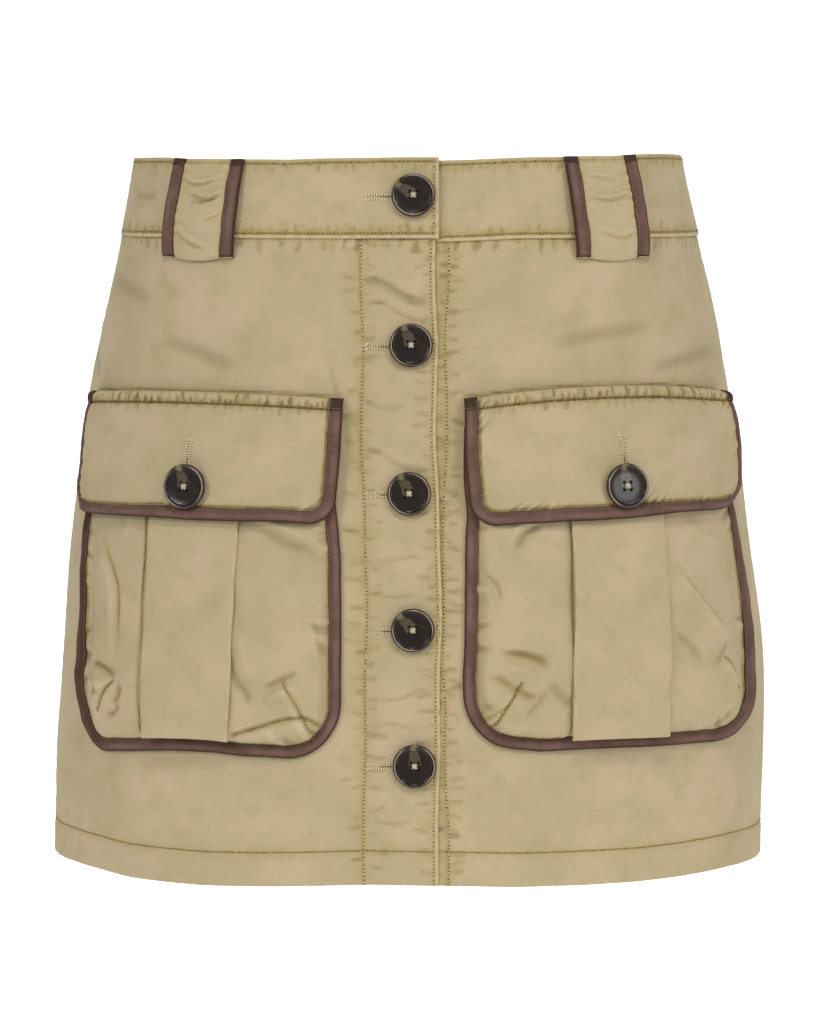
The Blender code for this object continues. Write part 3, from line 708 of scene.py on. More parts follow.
def on_front(side):
    """The place function of a front panel."""
    seed = 11 if side == "right" else 31

    def place(arc, drop):
        relief = Relief(arc, drop, seed, uneven=0.3, size=60)
        # Under the band, the seam's line and puckers are dark with painted shade as well as dye.
        relief.sewn(drop - BAND_HEIGHT, arc, seed + 1, spacing=7, depth=0.3, reach=7, groove=0,
                    wide=0.5, shade_and_stain=0.9, tint=0.3)
        relief.gathers(BAND_HEIGHT, -200, 200, 6, seed + 20, 9, sides=(1,), depth=0.5, width=1.5,
                       shade_and_stain=0.8)
        relief.sewn(drop - HEM_STITCH, arc, seed + 4, spacing=9, depth=0.14, reach=3.5,
                    groove=0.35, shade_and_stain=0.25, tint=0.5)
        seam = body.side_arc(drop) - np.abs(arc)
        relief.sewn(seam, drop, seed + 7, spacing=9, depth=0.3, reach=9, groove=0)
        # Along the closure's stitch lines the puckers are darkened by dye and painted shade.
        if side == "right":
            relief.sewn(arc - PLACKET_STITCH, drop, seed + 10, spacing=7, depth=0.3, reach=6,
                        shade_and_stain=0.4)
            relief.gathers(PLACKET_STITCH, 46, 378, 10, seed + 21, 15, upright=True, depth=0.55,
                           width=1.4, shade_and_stain=0.8)
            relief.sewn(arc - LAP_STITCH, drop, seed + 13, spacing=6, depth=0.3, reach=4.5,
                        groove=0.25, shade_and_stain=0.3)
            relief.gathers(LAP_STITCH, 46, 378, 7, seed + 22, 14, sides=(-1,), upright=True,
                           depth=0.5, width=1.3, shade_and_stain=0.8)
        else:
            relief.sewn(arc - UNDERLAP_STITCH, drop, seed + 16, spacing=5.5, depth=0.35, reach=6,
                        shade_and_stain=0.45)
            relief.gathers(UNDERLAP_STITCH, 46, 378, 6.5, seed + 23, 12, upright=True, depth=0.6,
                           width=1.3, shade_and_stain=1.0)
            near = np.exp(-np.maximum(UNDERLAP_STITCH - arc, 0) / 12)
            relief.add_dye_and_painted_shade(near * (arc < UNDERLAP_STITCH))
        relief.add_dye_and_painted_shade(band_shade(drop))
        for path, height, width, lean in RIGHT_FRONT_FOLDS if side == "right" else LEFT_FRONT_FOLDS:
            relief.crease(path, height, width, lean)
            if height > 0:
                # Each fold has a hollow under it, with painted shade along it.
                hollow = [(a, d + 0.9 * width) for a, d in path]
                relief.crease(hollow, -0.9 * height, 0.5 * width, shade_and_stain=0.8 * height)
        # A painted shadow darkens the cloth along the top edge of the pocket's flap.
        middle, level, bow = FLAP_TOPS[side]
        share = (arc - middle) / HALF_FLAP
        above = level + bow * share**2 - drop
        flap_top_shadow = 1.5 * bell(above - 0.9, 1.0) * ease((1.02 - np.abs(share)) / 0.03)
        relief.add_dye_and_painted_shade(flap_top_shadow)
        relief.height = relief.height * ease(seam / 4)
        edges = rolled(seam, SEAM_ROLL) + rolled(SKIRT_LENGTH - drop, HEM_ROLL)
        if side == "right":
            edges = edges + rolled(OVERLAP_EDGE - arc, 0.7)
        edges = edges + hem_layers(drop)
        out = front_layer(arc, side) + relief.height + edges
        if side == "right":
            # The folded overlap edge is rubbed pale, which also paints its highlight.
            relief.add_wear_and_painted_light(1.1 * bell(arc - OVERLAP_EDGE + 0.7, 0.8))
            wander = smooth_through(*OVERLAP_WANDER, drop) * ease((arc + 62) / 30)
        else:
            wander = smooth_through(*UNDERLAP_WANDER, drop) * ease((46 - arc) / 20)
        points = body.cloth(arc + wander + joined(np.sign(arc), seam), drop, out)
        if side == "left":
            points[..., 2] -= under_hang(arc) * ease((75 - drop) / 30)
        return points, relief

    return place


def right_columns(plain, close):
    """Grid lines of a right front piece, closer together over the placket."""
    return np.concatenate([
        spread(-hem_seam, -32.0, plain)[:-5], spread(-33.0, OVERLAP_EDGE, close)[5:]])


def make_front(side):
    """A front panel is cut out and laid in place."""
    place = on_front(side)
    if side == "right":
        columns = right_columns(1.8, 0.95)
    else:
        columns = np.concatenate([np.linspace(UNDERLAP_EDGE, 9, 8), np.linspace(9.9, 30, 23),
                                  spread(30.0, hem_seam, 1.8)[6:]])
    rows = spread(BAND_HEIGHT - 1.0, SKIRT_LENGTH, 1.5)
    cloth = cut_cloth(f"front_{side}_cloth", columns, rows,
                      lambda column, row: place(flared(column, row), row), PANEL_WALL, twill)
    belongs(cloth, "cotton_twill", f"front_{side}")
    return place


right_front, left_front = make_front("right"), make_front("left")
hem_end = float(body.side_arc(HEM_STITCH)) - 2
sew("front_right_stitches", [
    (right_front, *line(-hem_end, OVERLAP_EDGE - 2, HEM_STITCH)),
], olive_thread)
sew("placket_stitches", [
    (right_front, *upright(PLACKET_STITCH, 44.5, 379)),
    (right_front, *upright(LAP_STITCH, 44.5, 379)),
    (left_front, *upright(UNDERLAP_STITCH, 44.5, 379)),
], straw_thread)
sew("front_left_stitches", [(left_front, *line(OVERLAP_EDGE + 3, hem_end, HEM_STITCH))],
    olive_thread)

# -------------------------------------------------------------------------------- back panel
# The back is one panel of the same twill, joined to the fronts in two plain side seams. It has
# the same stitched hem, and soft drags where it rounds the seat.

BACK_FOLDS = (
    ([(330, 92), (380, 104), (430, 108)], -0.8, 6.0, 0.4),
    ([(690, 96), (640, 106), (600, 112)], -0.8, 6.0, -0.4),
    ([(470, 250), (520, 262), (575, 254)], -0.6, 8.0, 0.0),
    ([(360, 190), (366, 240), (362, 290)], 0.6, 7.0, 0.3),
    ([(668, 180), (676, 236), (670, 300)], 0.6, 7.0, -0.3),
    ([(298, 70), (318, 88)], -0.6, 5.0, 0.3),
)

# Two short darts, this far either side of the centre back, shape the back into the waist.
BACK_DART = 74.0


def round_back(share, drop):
    """The arc at a share of the way round the back, from the left side seam to the right one,
    and how far in it is from the nearer seam."""
    start = body.side_arc(drop)
    girth = 2 * (body.half_girth(drop) - start)
    return start + share * girth, np.minimum(share, 1 - share) * girth


def back_place(share, drop):
    """The place function of the back panel."""
    arc, seam = round_back(share, drop)
    relief = Relief(arc, drop, 51, uneven=0.35, size=75)
    # Under the band, the seam's line is dark with painted shade as well as dye.
    relief.sewn(drop - BAND_HEIGHT, arc, 52, spacing=7, depth=0.4, reach=7, groove=0, shade_and_stain=0.9)
    relief.sewn(drop - HEM_STITCH, arc, 55, spacing=9, depth=0.14, reach=3.5, groove=0.35,
                shade_and_stain=0.45, tint=0.5)
    relief.sewn(seam, drop, 58, spacing=9, depth=0.3, reach=9, groove=0)
    relief.add_dye_and_painted_shade(band_shade(drop))
    relief.creases(BACK_FOLDS)
    for way in (-1, 1):
        levels = np.array([36.0, 60.0, 85.0, 112.0])
        path = np.stack([body.half_girth(levels) + way * BACK_DART, levels], 1)
        relief.crease(path, 0.9, 5.0, 0.8, fade=0.15)
        # Each dart's line is a hollow with painted shade along it.
        relief.crease(path, -0.9, 1.2, shade_and_stain=1.1, fade=0.15)
    relief.height = relief.height * ease(seam / 4)
    edges = rolled(seam, SEAM_ROLL) + rolled(SKIRT_LENGTH - drop, HEM_ROLL)
    edges = edges + hem_layers(drop)
    arc = arc + joined(np.sign(share - 0.5), seam)
    return body.cloth(arc, drop, relief.height + edges), relief


back_width = 2 * float(body.half_girth(SKIRT_LENGTH) - body.side_arc(SKIRT_LENGTH))
back_cloth = cut_cloth("back_cloth", spread(0, back_width, 2.8) / back_width,
                       spread(BAND_HEIGHT - 1.0, SKIRT_LENGTH, 2.1), back_place, PANEL_WALL, twill)
belongs(back_cloth, "cotton_twill", "back")
sew("back_stitches", [(back_place, *line(0.004, 0.996, HEM_STITCH, 600))], olive_thread)

# -------------------------------------------------------------------------------- waistband
# The waistband is a folded and interlined strip, 43 mm high, in two fronts and a back. It is
# stitched close to its top edge, its seam and its front end, and laps as the fronts do.

BAND_WALL = 2.2
BAND_PROUD = 1.0
BAND_LAP = PLACKET_PROUD * BAND_WALL / PANEL_WALL
BAND_TOP_STITCH, BAND_SEAM_STITCH, BAND_END_STITCH = 2.4, 40.3, OVERLAP_EDGE - 2.7

BAND_FOLDS = {
    "right": (
        ([(-95, 19), (-70, 16), (-48, 18)], 0.3, 4.0, 0.3),
        ([(-85, 31), (-66, 34)], 0.3, 4.0, 0.0),
        ([(-177, 17), (-156, 21), (-142, 18)], -0.9, 3.4, 0.2),
        ([(-177, 26), (-151, 30), (-137, 26)], 0.7, 4.0, 0.3),
        ([(-62, 26), (-40, 30), (-30, 28)], 0.35, 3.6, 0.3),
    ),
    "left": (
        ([(18, 18), (36, 19), (56, 16), (84, 18)], 0.55, 3.6, 0.5),
        ([(22, 25), (46, 29), (70, 26)], 0.35, 4.0, 0.3),
        ([(20, 33), (27, 36), (32, 41)], 0.5, 2.6, 0.3),
        ([(120, 22), (150, 25)], 0.3, 4.0, 0.0),
    ),
    "back": (
        ([(330, 20), (380, 23), (430, 19)], 0.4, 4.5, 0.3),
        ([(600, 22), (560, 18), (520, 22)], 0.4, 4.5, 0.3),
    ),
}


def on_band(side):
    """The place function of a part of the waistband. The back's columns are shares."""
    seed = {"right": 71, "left": 91, "back": 111}[side]

    def place(column, drop):
        if side == "back":
            arc, seam = round_back(column, drop)
            lap = 0.0
        else:
            arc, seam = column, body.side_arc(drop) - np.abs(column)
            lap = front_layer(arc, side) * BAND_WALL / PANEL_WALL
            if side == "right":
                lap = BAND_LAP * ease((arc + 40) / 36)
        relief = Relief(arc, drop, seed, uneven=0.16, size=38)
        relief.sewn(drop - BAND_TOP_STITCH, arc, seed + 1, spacing=4.5, depth=0.2, reach=4,
                    wide=0.9, shade_and_stain=0.6, tint=0.9)
        relief.sewn(drop - BAND_SEAM_STITCH, arc, seed + 4, spacing=4.5, depth=0.24, reach=5,
                    wide=0.9, shade_and_stain=0.6, tint=0.9)
        # The band's folded foot is rubbed pale, which also paints its highlight.
        relief.add_wear_and_painted_light(1.2 * bell(BAND_HEIGHT - drop - 0.9, 0.7))
        # On the fronts, puckers run out from the two stitch lines, darkened by dye and painted
        # shade.
        if side != "back":
            for level, half, draw, reach, away in ((BAND_TOP_STITCH, 190, 20, 6, 1),
                                                   (BAND_SEAM_STITCH, 200, 21, 7, -1)):
                relief.gathers(level, -half, half, 5, seed + draw, reach, (away,), width=1.2,
                               shade_and_stain=1.1)
        relief.dye = relief.dye * (0.4 + 0.6 * ease((drop - 0.6) / 1.2))
        # Its folded top edge is rubbed pale too, which also paints its highlight.
        relief.add_wear_and_painted_light(0.9 * bell(drop, 0.9))
        relief.sewn(seam, drop, seed + 7, spacing=6, depth=0.2, reach=5, groove=0)
        if side == "right":
            relief.sewn(arc - BAND_END_STITCH, drop, seed + 10, spacing=4.5, depth=0.3, reach=4,
                        groove=0.25, shade_and_stain=0.3)
            # The folded end is rubbed pale, which also paints its highlight.
            relief.add_wear_and_painted_light(1.2 * bell(arc - OVERLAP_EDGE + 0.8, 0.8))
        relief.creases(BAND_FOLDS[side])
        relief.height = relief.height * ease(seam / 4)
        edges = rolled(drop, 1.0) + rolled(BAND_HEIGHT - drop, 0.9) + rolled(seam, SEAM_ROLL)
        if side == "right":
            edges = edges + rolled(OVERLAP_EDGE - arc, 0.8)
        way = np.sign(column - 0.5) if side == "back" else np.sign(arc)
        # At the sides the band leans in: at its top on the left, and at its foot on the right.
        share = drop / BAND_HEIGHT
        on_left = way < 0 if side == "back" else way > 0
        leaning = np.where(on_left, 1.9 * (1 - share), 0.8 * share)
        out = BAND_PROUD + lap + relief.height + edges - leaning * ease((60 - seam) / 50)
        wander = ease((arc + 40) / 40) if side == "right" else 0.0
        points = body.cloth(arc + joined(way, seam) + wander, drop, out)
        if side == "left":
            points[..., 2] -= under_hang(arc)
        return points, relief

    return place


def make_band(side, columns):
    """A part of the waistband is cut out and laid in place."""
    place = on_band(side)

    def laid(column, row):
        return place(column if side == "back" else flared(column, row), row)

    name = {"back": "waistband_back"}.get(side, f"waistband_front_{side}")
    cloth = cut_cloth(f"{name}_cloth", columns, spread(0.0, BAND_HEIGHT, 1.15), laid,
                      BAND_WALL, twill)
    belongs(cloth, "cotton_twill", name)
    return place


right_band = make_band("right", right_columns(1.2, 1.0))
left_band = make_band("left", np.concatenate([
    np.linspace(UNDERLAP_EDGE, 9, 10), spread(10.0, hem_seam, 1.2)[5:]]))
back_band = make_band("back", spread(0, 400, 1.9) / 400)
band_end = float(body.side_arc(0)) - 1
band_levels = ((BAND_TOP_STITCH, band_end), (BAND_SEAM_STITCH, band_end + 5))
band_runs = [(right_band, *line(-end, OVERLAP_EDGE - 3.2, level, 500))
             for level, end in band_levels]
band_runs += [(left_band, *line(OVERLAP_EDGE + 1, end, level, 500)) for level, end in band_levels]
band_runs += [(back_band, *line(0.003, 0.997, level, 900)) for level, _ in band_levels]
sew("waistband_stitches", band_runs, olive_thread)
sew("waistband_end_stitches", [(right_band, *upright(BAND_END_STITCH, 3.4, 39.6))],
    straw_thread)

# -------------------------------------------------------------------------------- belt loops
# Four wide loops of twill hold a belt. Both of a loop's edges are bound in mauve-brown cotton
# tape. Its top end is caught under the waistband's edge and its foot is turned under.

LOOP_WIDTH = 41.5
LOOP_LENGTH = 53.0
LOOP_WALL = 1.5
TAPE_TUCK = 0.6
LOOP_DOWN = [0.3, 6.0, 15.0, 28.0, 40.0, 48.0, 53.0]
LOOP_INNER = [1.3, 2.0, 3.3, 3.8, 3.5, 2.4, 0.6]

# The tape's section, from its stitched inner edge over its crown and round the bound edge: how
# far in from the edge, and how far above the bound cloth.
TAPE_IN = [7.0, 6.93, 6.6, 6.1, 5.6, 4.6, 3.2, 1.9, 0.9, 0.25, 0.0, 0.1, 0.5]
TAPE_UP = [-0.1, 0.40, 0.72, 0.70, 0.90, 1.20, 1.34, 1.25, 0.95, 0.42, -0.25, -0.9, -1.3]
TAPE_STITCH = 3


def make_tape_finish(name):
    """Mauve-brown cotton tape with a fine diagonal rib, paler and pinkish on its crown with wear
    and a painted highlight there, and painted darker in shade along its edges, ends and turned
    sides.
    """
    tape = Finish(name, roughness=0.85, sheen=0.02)
    tape.put("Specular IOR Level", 0.12)
    cut, ribs = tape.cloth_grain(0.0005, 0.00010)
    clouds = tape.noise(cut, 0.012, 3.0).within(0.35, 0.7)
    tape.colour = tape.blend(clouds, (0.104, 0.057, 0.042), (0.137, 0.077, 0.060))
    # Paler on its crown with wear, which also paints its highlight there.
    tape.tint(tape.mark("worn").within(0.1, 1.2) * 0.45, (0.225, 0.140, 0.116))
    # Painted shade along its edges, its ends and its sides that turn away from the light.
    tape.tint(tape.mark("dye").within(0.15, 1.0) * 0.85, (0.034, 0.018, 0.010))
    tape.tint(ribs * 0.14, (0.05, 0.028, 0.024))
    tape.put("Base Color", tape.colour)
    return tape


binding = make_tape_finish("binding_tape_cloth")
rose_thread = make_thread("rose_thread", (0.15, 0.088, 0.064), (0.29, 0.195, 0.150))


def on_tape(base, edge, length, seed, width=7.0, caps=(0, 0), narrow=None, side_shade=None):
    """The place function of a tape that binds an edge. base gives points above the bound cloth,
    and edge the coordinates and the way out, at distances along the edge. caps are the lengths
    at its two ends that are folded back, and there raised and darker. narrow changes the width
    along it, and side_shade the painted shade along it."""

    def place(along, step):
        across, down, out_across, out_down = edge(along)
        steps = np.arange(len(TAPE_IN))
        shown = width if narrow is None else width + narrow(along)
        inwards = smooth_through(steps, TAPE_IN, step) * shown / TAPE_IN[0]
        up = smooth_through(steps, TAPE_UP, step)
        relief = Relief(along, step, seed, uneven=0.05, size=20)
        relief.sewn((step - TAPE_STITCH) * 0.6, along, seed + 1, spacing=4.5, depth=0.13,
                    reach=2.5, groove=0.2)
        relief.height = relief.height + 0.12 * ripple(along + step, 17, seed + 5)
        # Painted shade along the inner edge and round the turned outer edge.
        relief.dye = 1.3 * bell(step, 2.0) + 1.2 * ease((step - 7.2) / 1.6)
        # The stitch line is darker, with painted shade in its groove.
        relief.add_dye_and_painted_shade(0.5 * bell(step - TAPE_STITCH, 0.8))
        for reach, away in zip(caps, (along, length - along)):
            if reach:
                folded = ease((reach + 0.4 - away) / 0.8)
                relief.add_dye_and_painted_shade(folded)
                relief.height = relief.height + 0.6 * folded
        if side_shade is not None:
            relief.add_dye_and_painted_shade(side_shade(along))
        ends = np.minimum(along, length - along)
        # Painted shade outlines the two cut ends.
        relief.add_dye_and_painted_shade(1.3 * bell(ends, 0.7))
        # Paler along its crown with wear, which also paints its highlight there.
        relief.add_wear_and_painted_light(bell(step - 6.3, 1.2) * (0.7 + 0.3 * ripple(along, 34, seed + 6)))
        waver = 0.16 * ripple(along, 24, seed + 7) * (1 - ease(step / 9))
        points = base(across - out_across * (inwards + waver), down - out_down * (inwards + waver),
                      up + relief.height * ease((step + 0.5) / 1.5))
        relief.down = step * 0.7
        return points, relief

    return place


def bind(name, base, edge, length, seed, node, width=7.0, caps=(0, 0), narrow=None, side_shade=None):
    """A tape along an edge, and the row of stitches that holds it."""
    place = on_tape(base, edge, length, seed, width, caps, narrow, side_shade)
    rows = np.linspace(0, len(TAPE_IN) - 1, 2 * len(TAPE_IN) - 1)
    tape = cut_cloth(f"{name}_tape", np.linspace(0, length, ceil(length / 1.25) + 1), rows, place,
                     0.45, binding)
    belongs(tape, "binding_tape", node)
    length / 1000
    run = (place, *line(1.5, length - 1.5, TAPE_STITCH, ceil(length)))
    sew(f"{name}_tape_stitches", [run], rose_thread, "binding_tape", pitch=2.2, length=1.5,
        thick=0.4)
    return place


def on_loop(middle, lean, seed, folds):
    """The place function of a belt loop, by its own across and down."""

    def place(across, down, height=0.0):
        relief = Relief(across, down, seed, uneven=0.22, size=22)
        for path, rise, width, slope in folds:
            relief.crease(path, 1.7 * rise, 0.6 * width, slope, shade_and_stain=0.15)
            # Under each fold lies a hollow with painted shade along it.
            under = [(a, d + 0.9 * width) for a, d in path]
            relief.crease(under, -0.6 * rise, 0.4 * width, shade_and_stain=0.85)
        relief.sewn(LOOP_WIDTH / 2 - 7 - np.abs(across), down, seed + 1, spacing=5, depth=0.25,
                    reach=4, groove=0.2)
        relief.sewn(down - BAND_TOP_STITCH, across, seed + 4, spacing=4, depth=0.15, reach=3)
        # The whole loop is a little paler.
        relief.add_wear_and_painted_light(0.45)
        inner = smooth_through(LOOP_DOWN, LOOP_INNER, np.clip(down, 0.3, LOOP_LENGTH))
        ends = rolled(down, 1.2) + rolled(LOOP_LENGTH + TAPE_TUCK - down, 1.3)
        # The loop widens to its foot, whose folded edge sags between the tapes.
        share = down / LOOP_LENGTH
        arc = middle + across * (1.025 + 0.035 * share) + lean * share
        sag = 1.6 * (1 - (across / 14) ** 2) * share**4
        out = inner + LOOP_WALL + relief.height + ends + height
        return body.cloth(arc, down + np.maximum(sag, 0), out), relief

    return place


# Each loop's middle at the top edge, its foot's lean, and its folds.
back_loop_arc = float(body.half_girth(0)) - 100
BELT_LOOPS = {
    "front_right": (-108.4, -7.0, (
        ([(-14, 9), (-2, 13), (12, 8)], 1.1, 2.0, 0.9),
        ([(-9, 17), (4, 21), (14, 16)], 1.2, 2.2, 0.9),
        ([(-8, 25), (2, 24), (12, 20)], -0.9, 1.9, 0.0),
        ([(-14, 36), (-4, 43), (7, 47)], 1.3, 2.3, 0.8),
        ([(3, 33), (13, 29)], 0.8, 2.2, 0.4),
    )),
    "front_left": (102.5, 8.0, (
        ([(-13, 20), (0, 22), (13, 19)], 1.1, 2.1, 0.9),
        ([(-12, 36), (4, 41), (13, 38)], 0.9, 2.4, 0.6),
        ([(-10, 9), (6, 12)], 0.7, 2.2, 0.4),
    )),
    "back_right": (-back_loop_arc, -5.0, (
        ([(-13, 16), (2, 19), (13, 15)], 0.6, 2.4, 0.6),
        ([(-12, 38), (8, 42)], 0.5, 2.6, 0.4),
    )),
    "back_left": (back_loop_arc, 5.0, (
        ([(-13, 22), (0, 24), (13, 20)], 0.6, 2.4, 0.6),
        ([(-10, 40), (10, 37)], 0.5, 2.6, 0.4),
    )),
}


def make_loop(name, middle, lean, folds, seed):
    """A belt loop and its two tapes."""
    place = on_loop(middle, lean, seed, folds)
    half = LOOP_WIDTH / 2
    columns = np.linspace(-half + TAPE_TUCK, half - TAPE_TUCK, 42)
    cloth = cut_cloth(f"{name}_cloth", columns, spread(0.0, LOOP_LENGTH + TAPE_TUCK, 1.0), place,
                      LOOP_WALL, twill)
    belongs(cloth, "cotton_twill", name)

    def base(across, down, height):
        return place(across, down, height)[0]

    # Tape a runs down the loop's -X edge, and tape b up its other one.
    bind(f"{name}_a", base, lambda s: (np.full_like(s, -half), s + 0.2, -1.0, 0.0), LOOP_LENGTH,
         seed + 10, f"{name}_tape_a", width=7.5, caps=(4.0, 0))
    bind(f"{name}_b", base, lambda s: (np.full_like(s, half), LOOP_LENGTH + 0.2 - s, 1.0, 0.0),
         LOOP_LENGTH, seed + 20, f"{name}_tape_b", width=7.5, caps=(0, 4.0))


for i, (where, facts) in enumerate(BELT_LOOPS.items()):
    make_loop(f"belt_loop_{where}", *facts, seed=200 + 40 * i)

# ------------------------------------------------------------------------------ cargo pockets
# Each pocket is a bag of twill, darted at its two lower corners so that it stands full, with a
# box pleat down its middle. Its sides and bottom are bound in the mauve-brown tape.

POCKET_WIDTH = 161.0
POCKET_MOUTH_DROP = 143.0
POCKET_DEEP = 168.5
POCKET_CORNER = 28.0
BAG_WALL = 1.2
BAG_RIM = 1.9
OUTER_LIFT = 3.2
PLEAT_WIDTH = 51.0
PLEAT_PROUD = 1.9
HALF_POCKET = POCKET_WIDTH / 2

# A pocket's two sides wander out or in at these depths.
SIDE_DOWNS = (0, 30, 45, 58, 66, 74, 90, 104, 113, 121, 130, 138, 146, 154, 170)

# Each pocket: which way its outer side is, its middle arc and how much lower it hangs; its
# pleat's middle, length and shape; its button; how far its two sides wander outwards; how its
# tape's width changes down its outer side, and how much painted shade darkens that tape; where
# painted shade lies beside its pleat's -X fold; how its foot sinks across it; and its folds, by
# path, height, width, lean and painted shade. Folds and darts are paths of arcs and drops on the
# skirt.
POCKETS = {
    "right": {
        "outward": -1, "arc": -115.0, "lower": 1.5, "pleat_arc": -113.8, "pleat_lean": -1.7,
        "button_arc": -115.1, "button_drop": 173.5,
        "pleat_length": 161.3, "pleat_taper": (-1.0, 4.0), "pleat_bow": 0.0,
        "outer": (-1.5, -3.5, -4.8, -5.2, -4.8, -4.1, -4.8, -4.4, -2.7, -2.1, -0.7, -2.8, -5.6,
                  -6.2, -5.3),
        "tape": ((0, 50, 83, 93, 104, 114, 120, 127, 135, 143, 165),
                 (-2.2, -2.4, -2.9, -2.3, -2.5, -1.3, -0.2, -0.4, -1.2, -1.0, 0)),
        "tape_side_shade": 0.68, "fold_shade": 2.2,
        "inner": (-5.0, -4.5, -2.8, -1.6, -1.0, -1.0, -0.8, -0.8, -0.8, -1.0, -1.0, -1.0, -1.3,
                  -1.8, -2.0),
        "foot": ((-80, -61, -52, -43, -28, -14, 0, 13, 27, 39, 52, 80),
                 (3.0, 3.0, 1.3, 0.5, -1.0, -2.0, -2.4, -2.2, -0.9, -0.6, 0, 0.3)),
        "folds": (
            ([(-179, 196), (-168, 214), (-161, 228), (-160, 244), (-162, 276)], 2.0, 3.2, 0.8, 0),
            ([(-176, 196), (-165, 214), (-158, 228), (-157, 244), (-159, 277)], -1.3, 1.1, 0, 1.1),
            ([(-177, 267), (-167, 270), (-155, 276)], -2.8, 2.3, 0, 0.9),
            ([(-177, 271), (-172, 278), (-173, 287)], -1.8, 1.6, 0, 0.7),
            ([(-155, 276), (-155, 283), (-160, 290)], -2.0, 1.5, 0, 0.8),
            ([(-181, 278), (-171, 277), (-162, 280)], 1.2, 2.6, 0.4, 0),
            ([(-181, 286), (-171, 283), (-164, 284)], -1.0, 2.0, 0, 0.4),
            ([(-154, 286), (-158, 293), (-165, 295)], -1.8, 1.6, 0, 0.7),
            ([(-148, 180), (-152, 196), (-160, 206)], 0.9, 3.0, 0.4, 0),
            ([(-84, 184), (-66, 193), (-45, 200)], 1.3, 2.8, 0.5, 0),
            ([(-84, 191), (-68, 200), (-51, 206), (-43, 211)], -1.6, 3.0, 0, 0.35),
            ([(-92, 242), (-91, 268), (-84, 280), (-82, 288)], -1.4, 2.6, 0.3, 0.35),
            ([(-86, 240), (-84, 262), (-78, 276)], 0.9, 3.0, 0.3, 0),
            ([(-78, 279), (-65, 272), (-55, 268)], -1.7, 1.6, 0, 0.6),
            ([(-76, 285), (-66, 278), (-56, 274)], 1.2, 2.2, 0.4, 0),
            ([(-51, 236), (-46, 254), (-45, 262)], -0.9, 2.2, 0, 0.2),
        ),
        "darts": ([(-66, 272), (-58, 285), (-49, 301)], [(-158, 276), (-163, 282), (-168, 291)]),
        "gusset": [(-94, 301), (-77, 296.5), (-64, 292.5), (-53, 291.5), (-46, 295)],
        "pleat_folds": (
            ([(-23, 26), (-10, 34), (10, 30)], 0.5, 3.6, 0.4),
            ([(-24, 96), (-14, 100), (-2, 97)], 0.4, 4.0, 0.3),
            ([(18, 60), (22, 96), (21, 134)], 0.5, 4.0, 0.3),
            ([(-22, 140), (-4, 146), (16, 143)], 0.4, 4.0, 0.3),
        ),
    },
    "left": {
        "outward": 1, "arc": 109.3, "lower": -2.0, "pleat_arc": 108.0, "pleat_lean": 0.8,
        "button_arc": 111.1, "button_drop": 173.0,
        "pleat_length": 163.0, "pleat_taper": (0.0, 0.0), "pleat_bow": 2.0,
        "outer": (-1.0, 0, 1.3, 2.6, 4.2, 6.3, 10.6, 13.4, 15.0, 15.4, 15.7, 15.9, 15.8, 16.0,
                  16.2),
        "tape": ((0, 60, 90, 130, 168), (-2.4, -2.8, -2.0, -1.1, -0.2)),
        "tape_side_shade": 0.30, "fold_shade": 0.3,
        "inner": (0.5, 0.5, -0.8, -0.2, 0, 0, 0.2, 0.3, 0.3, 0.8, 1.2, 1.0, 0.5, 0, 0),
        "foot": ((-80, -67, -58, -49, -42, -17, 3, 23, 45, 63, 73, 84),
                 (-0.3, -0.8, -1.5, -1.0, 0, -0.5, -0.5, 0, 0.4, 1.0, 2.0, 3.0)),
        "folds": (
            ([(54, 208), (60, 197), (70, 191)], -1.8, 2.0, 0, 0.5),
            ([(49, 204), (56, 193), (67, 187)], 1.2, 2.4, 0.3, 0),
            ([(36, 215), (44, 222), (48, 233)], -1.4, 1.4, 0, 0.7),
            ([(32, 221), (40, 227), (44, 237)], 1.2, 2.0, 0.4, 0),
            ([(42, 258), (56, 259), (66, 262), (73, 268)], -2.8, 2.5, 0, 0.9),
            ([(44, 255), (56, 255), (70, 259)], 1.2, 2.4, 0.4, 0),
            ([(46, 266), (57, 266), (67, 271)], 1.9, 2.3, 0.5, 0),
            ([(35, 269), (46, 272), (54, 277), (62, 281), (68, 278)], -2.4, 2.0, 0, 0.8),
            ([(58, 293), (65, 285), (72, 276)], -1.2, 1.7, 0, 0.35),
            ([(38, 293), (44, 289), (51, 285)], -1.6, 1.1, 0, 1.0),
            ([(70, 272), (77, 280), (85, 288)], -1.8, 3.2, 0, 0.45),
            ([(36, 282), (42, 286), (46, 292)], -1.2, 1.5, 0, 0.6),
            ([(144, 217), (151, 228), (168, 246), (176, 253)], 1.5, 1.7, 1.0, 0),
            ([(138, 250), (148, 256), (160, 270)], -0.9, 3.0, 0, 0.2),
            ([(164, 271), (171, 262), (177, 255)], -1.1, 1.8, 0, 0.3),
            ([(150, 190), (160, 200), (176, 206)], 0.9, 3.4, 0.5, 0),
            ([(166, 301), (175, 298), (186, 293)], -1.2, 1.5, 0, 0.6),
            ([(160, 294), (170, 291), (182, 286)], 1.0, 2.2, 0.4, 0),
        ),
        "darts": ([(58, 273), (50, 286), (42, 297)], [(171, 264), (178, 272), (187, 282)]),
        "gusset": [(82, 305), (66, 303), (50, 301), (38, 296)],
        "pleat_folds": (
            ([(-22, 30), (-6, 36), (14, 32)], 0.5, 3.6, 0.4),
            ([(14, 84), (20, 104), (18, 126)], 0.5, 4.0, 0.3),
            ([(-23, 110), (-10, 114), (6, 110)], 0.4, 4.0, 0.3),
        ),
    },
}


def half_width(down, deep, half, corner):
    """Half the width of a shape whose two lower corners are round, at a depth."""
    into = np.clip(down - (deep - corner), 0, corner)
    return half - corner + np.sqrt(corner**2 - into**2)


